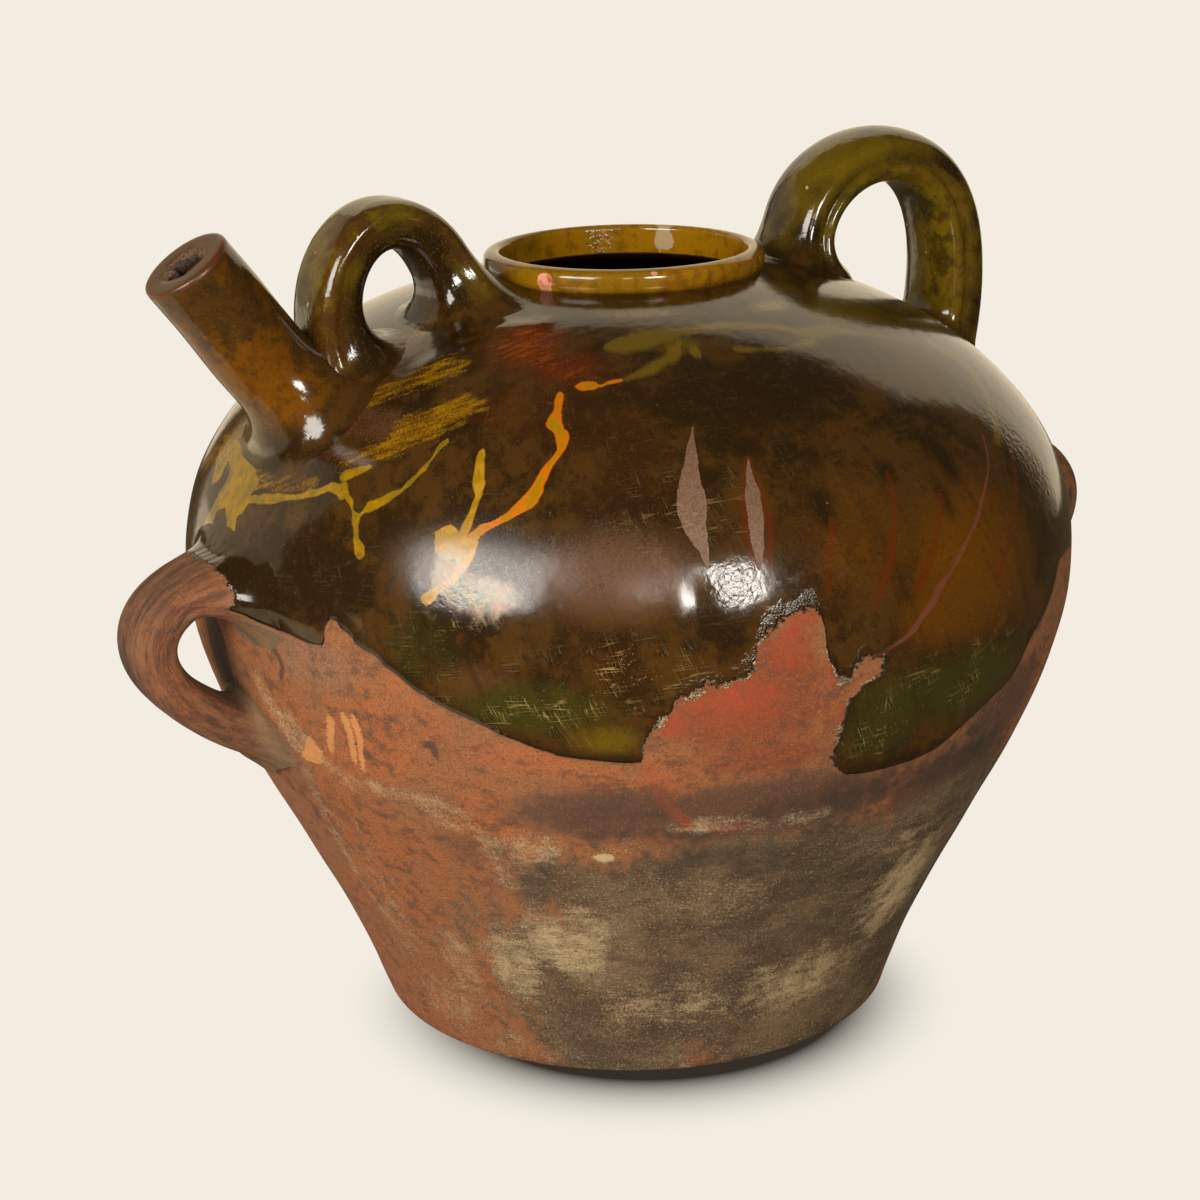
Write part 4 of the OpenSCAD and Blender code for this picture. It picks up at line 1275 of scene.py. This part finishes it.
def slips(f, shade):
    """Lays the yellow, orange and olive slips under the glaze."""
    brown = f.ramp(f.attribute("brown_smears") + f.speckle * 0.6 + (f.mottle - 0.5) * 1.2, 0.35, 1.2)
    shade = f.mix(brown * 0.6, shade, "hazed_glaze")
    fan = f.combine(f.up - f.round * 0.5, (f.round + f.up * 0.5) * 0.16, f.reach)
    brushed = (f.noise(fan, 0.9, 2, 0.6) - 0.5) * 1.8
    rusty = f.ramp(f.attribute("rust_glaze") + brushed + f.speckle * 0.3, 0.6, 1.4)
    shade = f.mix(rusty * 0.35, shade, "orange_slip")
    smear = f.attribute("yellow_smears")
    ragged = smear + f.speckle * 0.3 + (f.mottle - 0.5) * 0.5 + brushed
    smear = f.ramp(ragged, 0.20, 1.15) * f.ramp(smear, 0.02, 0.35)
    streaked = f.ramp(f.speckle + brushed, -0.6, 0.8)
    shade = f.mix(smear * 0.85, shade, f.mix(streaked, "amber_glaze", "yellow_slip"))
    olive = f.largest([f.drips(OLIVE_DRIPS), f.lines(OLIVE_LINES)])
    shade = f.lay(shade, "olive_slip", olive + (f.mottle - 0.5) * 6 + f.speckle * 0.8, -1.8, 2.2, 0.6)
    pale = f.drips(PALE_DRIPS)
    pale = f.ramp(pale, -0.4, 0.5) * 0.9
    shade = f.mix(pale, shade, f.mix(f.ramp(f.mottle, 0.4, 0.6), "pale_slip", "yellow_slip"))
    yellow = f.largest([f.drips(YELLOW_DRIPS), f.lines(YELLOW_LINES)])
    inner = f.mix(f.ramp(f.mottle + f.speckle * 0.05, 0.40, 0.64), "yellow_slip", "olive_slip")
    inner = f.lay(inner, "amber_glaze", f.speckle, 0.1, -0.7, 0.5)
    shade = f.mix(f.ramp(yellow + f.speckle * 0.25, -0.35, 0.65) * 0.95, shade, inner)
    orange = f.largest([f.drips(ORANGE_DRIPS), f.lines(ORANGE_LINES)])
    inner = f.mix(f.ramp(orange, 0, 1.6), "orange_slip", "yellow_slip")
    inner = f.lay(inner, "orange_slip", f.mottle, 0.45, 0.6, 0.7)
    return f.mix(f.ramp(orange + f.speckle * 0.2, -0.35, 0.6) * 0.95, shade, inner)


def body_finish():
    """Glaze with its slips over the clay, with the flaked patch, crust, scratches and stains."""
    f = Finish("thrown_body_glaze")
    glaze, rough, bump = glaze_looks(f)
    glaze = honeyed(f, glaze)
    glaze = slips(f, glaze)
    glaze = f.mix(f.attribute("dark_blobs") * 0.8, glaze, "dark_glaze")
    glaze = f.lay(glaze, "rust_glaze", f.drips(RED_RUNS) + (f.mottle - 0.5) * 3, -1.8, 1.0, 0.6)
    glaze = f.lay(glaze, "pink_run", f.drips((PINK_RUN,)) + (f.mottle - 0.5) * 1.5, -0.4, 0.5, 0.7)
    lens = f.ramp(f.drips(BARE_LENSES) + f.speckle * 0.2, -0.2, 0.2)
    crackle = f.ramp(f.noise(f.vector("MULTIPLY", f.place, (1, 1, 4)), 0.004, 4, 0.7), 0.4, 0.62)
    lens_clay = f.mix(f.ramp(f.speckle, -0.5, 0.5), "hazed_glaze", "bare_lens")
    glaze = f.mix(lens * 0.92, glaze, f.mix(crackle * 0.4, lens_clay, "mauve_clay"))
    scratches = f.attribute("scratched")
    hair = f.largest([f.scratches(0.12, 0.7), f.scratches(-2.2, 1.1)])
    glaze = f.mix(hair * (scratches * 0.45 + 0.04), glaze, "scratch")
    flecks = f.ramp(f.speckle + scratches * 0.6 + (f.mottle - 0.5), 0.90, 1.30)
    glaze = f.mix(flecks * 0.45, glaze, f.mix(f.ramp(f.clouds, 0.42, 0.58), "yellow_slip", "scratch"))
    # Pale pearly film of weathered glaze with a painted highlight over it, cut off sharply below, and a
    # painted glint by the spout
    highlight_lower_cut = f.ramp(f.up + (f.mottle - 0.5) * 5, 14.6, 15.2)
    pearl_and_highlight = f.ramp(f.attribute("pearly_and_highlight") + (f.mottle - 0.5) * 1.0, 0.25, 0.9) * highlight_lower_cut
    glaze = f.mix(pearl_and_highlight * 0.65, glaze, pearl(f))
    wrinkles = f.attribute("wrinkled")
    bump = bump + (f.noise(f.place, 0.0022, 3) - 0.5) * wrinkles * 0.30 - lens * 0.12
    depth = glaze_depth(f)
    rim = f.ramp(depth, 6, 0.5)
    glaze = f.mix(rim * 0.6, glaze, "dark_glaze")
    clay, clay_bump = clay_looks(f)
    # Painted shade: a thin dark line on the clay just below the glaze's lower edge, as under its raised rim
    clay = f.lay(clay, "burnt_clay", depth, -1.6, 0, 0.4)
    near_edge = f.ramp(f.math("ABSOLUTE", depth + 0.7), 2.6, 0.8)
    flakes = f.attribute("patch_edges") * near_edge + (f.mottle - 0.5) * 1.6 + f.speckle * 0.2
    flakes = f.ramp(flakes, 0.42, 0.7)
    glazed = f.ramp(depth, -0.15, 0.15)
    shade = f.mix(glazed, clay, glaze)
    shade = f.mix(flakes * 0.85, shade, f.mix(f.ramp(f.speckle, -0.35, 0.45), "sooty_clay", "crust"))
    glazed = glazed * (1 - flakes)
    rough = BODY_ROUGH - glazed * (BODY_ROUGH - rough - lens * 0.45)
    swell = f.ramp(depth, -0.4, 1.6) * 0.6 + f.ramp(depth, 7, 1) * f.ramp(depth, -0.4, 1.2) * 0.3
    height = clay_bump * (1 - glazed) + bump * glazed + swell + flakes * (0.25 + f.grain * 0.5)
    return f.finish(shade, rough, height)


def pearl(f):
    """Pale shifting colours where the glaze's face has weathered, also laid as a painted highlight and a
    painted glint.
    """
    rosy, green, cream = PEARL_TINTS
    tint = f.mix(f.ramp(f.noise(f.place, 0.007, 2), 0.4, 0.6), rosy, green)
    return f.mix(f.ramp(f.noise(f.place, 0.003, 3), 0.40, 0.62), tint, cream)


def strap_place(f, length):
    """Coordinates that follow a strap, in metres, for streaks along it."""
    along = f.attribute("along") * length
    return f.combine(along * 0.18, f.attribute("across") * 0.016, f.attribute("outward") * 0.010)


def off_the_wall(f):
    """0 where a root meets the wall, 1 well clear of it."""
    return f.ramp(f.attribute("above") + (f.mottle - 0.5) * 6, 2, 11)


def handle_finish(name, bright, patches, inner_paint):
    """Glazed straps: bright with patches on the outer faces, darker on the inner faces that turn to the
    wall.
    """
    f = Finish(name)
    glaze, rough, bump = glaze_looks(f)
    streak = f.noise(strap_place(f, 0.2), 0.006, 3, 0.6)
    outer = f.mix(f.ramp(f.clouds + (f.mottle - 0.5) * 0.5, 0.42, 0.62), bright, patches)
    outer = f.lay(outer, "glaze", f.mottle + f.speckle * 0.07, 0.45, 0.66, 0.6)
    inner_faces = f.mix(f.ramp(f.clouds, 0.4, 0.6), "dark_glaze", inner_paint)
    facing = f.attribute("outward") + (streak - 0.5) * 2.4 + (f.mottle - 0.5) * 1.0
    strap = f.mix(f.ramp(facing, -0.5, 0.7), inner_faces, outer)
    strap = f.lay(strap, "honey_glaze", f.speckle, 0.1, 0.9, 0.35)
    strap = f.lay(strap, "dark_glaze", f.speckle, -0.1, -0.9, 0.45)
    glaze = f.mix(off_the_wall(f), glaze, strap)
    chips = f.ramp(f.noise(f.place, 0.007, 2, 0.3), 0.75, 0.76)
    glaze = f.mix(chips, glaze, "crust")
    bump = bump + (streak - 0.5) * 0.25 - chips * 0.2 + (f.mottle - 0.5) * 0.12
    return f.finish(glaze, rough, bump)


def spout_finish():
    """Speckled brown glaze on the tube, thin at the cut end, with a sooty ring round a rough, darker bore.
    """
    f = Finish("glazed_spout")
    glaze, rough, bump = glaze_looks(f)
    along, from_axis = f.attribute("along"), f.attribute("from_axis")
    tube = f.mix(f.ramp(f.clouds + (f.mottle - 0.5) * 0.5, 0.36, 0.58), "amber_glaze", "glaze")
    tube = f.lay(tube, "dark_glaze", f.mottle + f.speckle * 0.09, 0.42, 0.70, 0.45)
    tube = f.lay(tube, "honey_glaze", f.speckle, 0.0, 0.9, 0.22)
    tube = f.lay(tube, "dark_glaze", f.speckle, -0.1, -0.9, 0.50)
    glaze = f.mix(off_the_wall(f), glaze, tube)
    end = f.ramp(along, 0.965, 0.975)
    cut = f.mix(f.ramp(f.speckle + (f.mottle - 0.5) * 3, -0.5, 0.9), "glaze", "burnt_clay")
    glaze = f.mix(end * 0.85, glaze, cut)
    rim = f.ramp(f.math("ABSOLUTE", from_axis - SPOUT_RIM), 1.4, 0.5) * end
    glaze = f.mix(rim * f.ramp(f.mottle, 0.38, 0.55) * 0.8, glaze, "rust_glaze")
    ring = f.ramp(from_axis + (f.mottle - 0.5) * 5, *SPOUT_RING) * f.ramp(along, 0.9, 0.95)
    glaze = f.mix(ring * 0.75, glaze, f.mix(f.ramp(f.speckle, -0.4, 0.4), "sooty_clay", "mauve_clay"))
    # The bore is painted darker inside
    bore = f.ramp(from_axis, *SPOUT_BORE)
    glaze = f.mix(bore * 0.9, glaze, "dark_glaze")
    rough = rough + f.largest([ring, bore]) * 0.5 + end * 0.2
    return f.finish(glaze, rough, bump + (f.mottle - 0.5) * 0.15 + ring * (f.grain - 0.5) * 0.8)


def lug_finish():
    """Bare brown clay drawn out in grooves, glazed where it joins the shoulder."""
    f = Finish("bare_lugs")
    clay, clay_bump = clay_looks(f)
    streak = f.noise(strap_place(f, 0.12), 0.003, 5, 0.65)
    clay = f.mix(0.35, clay, "burnt_clay")
    clay = f.lay(clay, "sooty_clay", streak, 0.46, 0.64, 0.65)
    clay = f.lay(clay, "mauve_clay", streak, 0.48, 0.36, 0.5)
    clay = f.lay(clay, "old_crust", f.attribute("above"), 9, 2, 0.5)
    glaze, rough, bump = glaze_looks(f)
    below = LUG_GLAZE_REACH - f.reach + (f.mottle - 0.5) * 0.008
    depth = f.math("MINIMUM", glaze_depth(f), below * 1000)
    glazed = f.ramp(depth, -0.3, 0.3)
    shade = f.mix(glazed, clay, glaze)
    rough = LUG_ROUGH - glazed * (LUG_ROUGH - rough)
    drawn_out = clay_bump + (streak - 0.5) * 1.2
    height = drawn_out * (1 - glazed) + bump * glazed + f.ramp(depth, -0.4, 1.4) * 0.5
    return f.finish(shade, rough, height)


# Operators


def jug_sizes():
    return bpy.context.scene.jug_sizes


class JUG_OT_body(bpy.types.Operator):
    """Throws the body with its collar."""

    bl_idname = "jug.body"
    bl_label = "Thrown body"

    def execute(self, context):
        sizes = jug_sizes()
        body = thrown_body(sizes, Skin(sizes))
        smooth_shade(body, 50)
        settle(body, body_finish())
        return {"FINISHED"}


class JUG_OT_spout(bpy.types.Operator):
    """Turns the tube spout and smooths it on to the shoulder."""

    bl_idname = "jug.spout"
    bl_label = "Spout"

    def execute(self, context):
        sizes = jug_sizes()
        spout = make_spout(sizes, Skin(sizes))
        smooth_shade(spout, 60)
        settle(spout, spout_finish())
        return {"FINISHED"}


class JUG_OT_handles(bpy.types.Operator):
    """Pulls the two strap handles over the shoulder."""

    bl_idname = "jug.handles"
    bl_label = "Handles"

    def execute(self, context):
        sizes = jug_sizes()
        skin = Skin(sizes)
        front, rear = make_spout_handle(sizes, skin), make_rear_handle(sizes, skin)
        for strap in (front, rear):
            smooth_shade(strap, 60)
        settle(front, handle_finish("spout_handle_glaze", "olive_glaze", "glaze", "dark_glaze"))
        settle(rear, handle_finish("rear_handle_glaze", "vivid_olive", "green_glaze", "olive_glaze"))
        return {"FINISHED"}


class JUG_OT_lugs(bpy.types.Operator):
    """Pulls the two lugs at the belly."""

    bl_idname = "jug.lugs"
    bl_label = "Lugs"

    def execute(self, context):
        sizes = jug_sizes()
        for strap in make_lugs(sizes, Skin(sizes)):
            smooth_shade(strap, 60)
            settle(strap, lug_finish())
        return {"FINISHED"}


def shown_and_lit(tree, seen, lit, out):
    """Joins what the camera sees of a surface and how it lights the jug."""
    path = add_node(tree, "ShaderNodeLightPath")
    choice = add_node(tree, "ShaderNodeMixShader", {
        0: path.outputs["Is Camera Ray"], 1: lit.outputs[0], 2: seen.outputs[0]})
    tree.links.new(choice.outputs[0], out.inputs["Surface"])


def plain_floor():
    """A pale floor with a soft shadow painted into its colour where the jug stands."""
    clear_selection()
    bpy.ops.mesh.primitive_plane_add(size=FLOOR_WIDTH, location=(0, 0, -FLOOR_DROP))
    floor = bpy.context.object
    floor.name = "floor"
    floor.visible_glossy = False
    paint = bpy.data.materials.new("pale_floor")
    paint.use_nodes = True
    tree = paint.node_tree
    tree.nodes.clear()
    where = add_node(tree, "ShaderNodeTexCoord")
    middle = Matrix.Rotation(-FRONT_TURN, 3, "Z") @ Vector((*SHADE_MIDDLE, 0))
    away = add_node(tree, "ShaderNodeVectorMath", {
        0: where.outputs["Object"], 1: middle}, operation="DISTANCE")
    dark, gone = SHADE_RADII
    fade = add_node(tree, "ShaderNodeMapRange", {
        "Value": away.outputs["Value"], "From Min": gone, "From Max": dark})
    soften = add_node(tree, "ShaderNodeMath", {0: fade.outputs["Result"], 1: SHADE_FALL}, operation="POWER")
    tint = add_node(tree, "ShaderNodeMix", {
        0: soften.outputs[0], 6: (*STUDIO_CREAM, 1), 7: (*PAINTED_FLOOR_SHADE, 1)}, data_type="RGBA")
    glow = add_node(tree, "ShaderNodeEmission", {"Color": tint.outputs[2]})
    matt = add_node(tree, "ShaderNodeBsdfDiffuse", {"Color": (*STUDIO_CREAM, 1)})
    shown_and_lit(tree, glow, matt, add_node(tree, "ShaderNodeOutputMaterial"))
    floor.data.materials.append(paint)


def pale_backdrop():
    """A cream backdrop all round, which lights the jug only dimly."""
    world = bpy.data.worlds.new("pale_backdrop")
    world.use_nodes = True
    tree = world.node_tree
    dim = tree.nodes["Background"]
    dim.inputs["Color"].default_value = (*DIM_ROOM, 1)
    seen = add_node(tree, "ShaderNodeBackground", {"Color": (*STUDIO_CREAM, 1)})
    shown_and_lit(tree, seen, dim, tree.nodes["World Output"])
    bpy.context.scene.world = world


def place_camera():
    """The camera at the photograph's viewing angle."""
    data = bpy.data.cameras.new("camera")
    camera = bpy.data.objects.new("camera", data)
    bpy.context.collection.objects.link(camera)
    data.sensor_width = CAMERA_SENSOR
    data.lens = CAMERA_LENS
    data.clip_start, data.clip_end = CAMERA_CLIP
    turn = Matrix.Rotation(-CAMERA_TURN, 4, "Z")
    dip = Matrix.Rotation(math.pi / 2 - CAMERA_DIP, 4, "X")
    roll = Matrix.Rotation(CAMERA_ROLL, 4, "Z")
    camera.matrix_world = Matrix.Translation(CAMERA_PLACE) @ turn @ dip @ roll
    bpy.context.scene.camera = camera


def soft_light(name, aim, toward, size, brightness, mirrored):
    """A soft panel of light, seen from its aim in a direction given by round and up in degrees."""
    data = bpy.data.lights.new(name, "AREA")
    data.shape = "RECTANGLE"
    data.size, data.size_y = size
    data.energy = brightness * math.pi * size[0] * size[1]
    data.color = GLOW_TINT if name.endswith("glow") else LIGHT_TINT
    lamp = bpy.data.objects.new(name, data)
    bpy.context.collection.objects.link(lamp)
    lamp.visible_camera = False
    lamp.visible_glossy = mirrored
    turn, rise = math.radians(toward[0]) - FRONT_TURN, math.radians(toward[1])
    away = Vector((math.cos(rise) * math.cos(turn), math.cos(rise) * math.sin(turn), math.sin(rise)))
    place = Vector(aim) + away * toward[2]
    lamp.matrix_world = Matrix.Translation(place) @ away.to_track_quat("Z", "Y").to_matrix().to_4x4()


class JUG_OT_stage(bpy.types.Operator):
    """Sets the plain floor, the pale backdrop, the soft lights and the camera."""

    bl_idname = "jug.stage"
    bl_label = "Stage"

    def execute(self, context):
        context.scene.view_settings.view_transform = "Standard"
        place_camera()
        plain_floor()
        pale_backdrop()
        for name, settings in SOFT_LIGHTS.items():
            soft_light(name, *settings)
        return {"FINISHED"}


class JUG_PT_panel(bpy.types.Panel):
    """Lists the pieces of the jug."""

    bl_idname = "JUG_PT_panel"
    bl_label = "Country jug"
    bl_space_type = "VIEW_3D"
    bl_region_type = "UI"
    bl_category = "Jug"

    def draw(self, context):
        for step in STEPS:
            self.layout.operator(step.bl_idname)
        for name in JugSizes.__annotations__:
            self.layout.prop(jug_sizes(), name)
        for name in JugColours.__annotations__:
            self.layout.prop(context.scene.jug_colours, name)


STEPS = (JUG_OT_stage, JUG_OT_body, JUG_OT_spout, JUG_OT_handles, JUG_OT_lugs)
CLASSES = (JugSizes, JugColours, *STEPS, JUG_PT_panel)


def register():
    for item in CLASSES:
        bpy.utils.register_class(item)
    bpy.types.Scene.jug_sizes = PointerProperty(type=JugSizes)
    bpy.types.Scene.jug_colours = PointerProperty(type=JugColours)


def unregister():
    del bpy.types.Scene.jug_sizes
    del bpy.types.Scene.jug_colours
    for item in reversed(CLASSES):
        bpy.utils.unregister_class(item)


def main():
    register()
    bpy.ops.jug.stage()
    bpy.ops.jug.body()
    bpy.ops.jug.spout()
    bpy.ops.jug.handles()
    bpy.ops.jug.lugs()


if __name__ == "__main__":
    main()
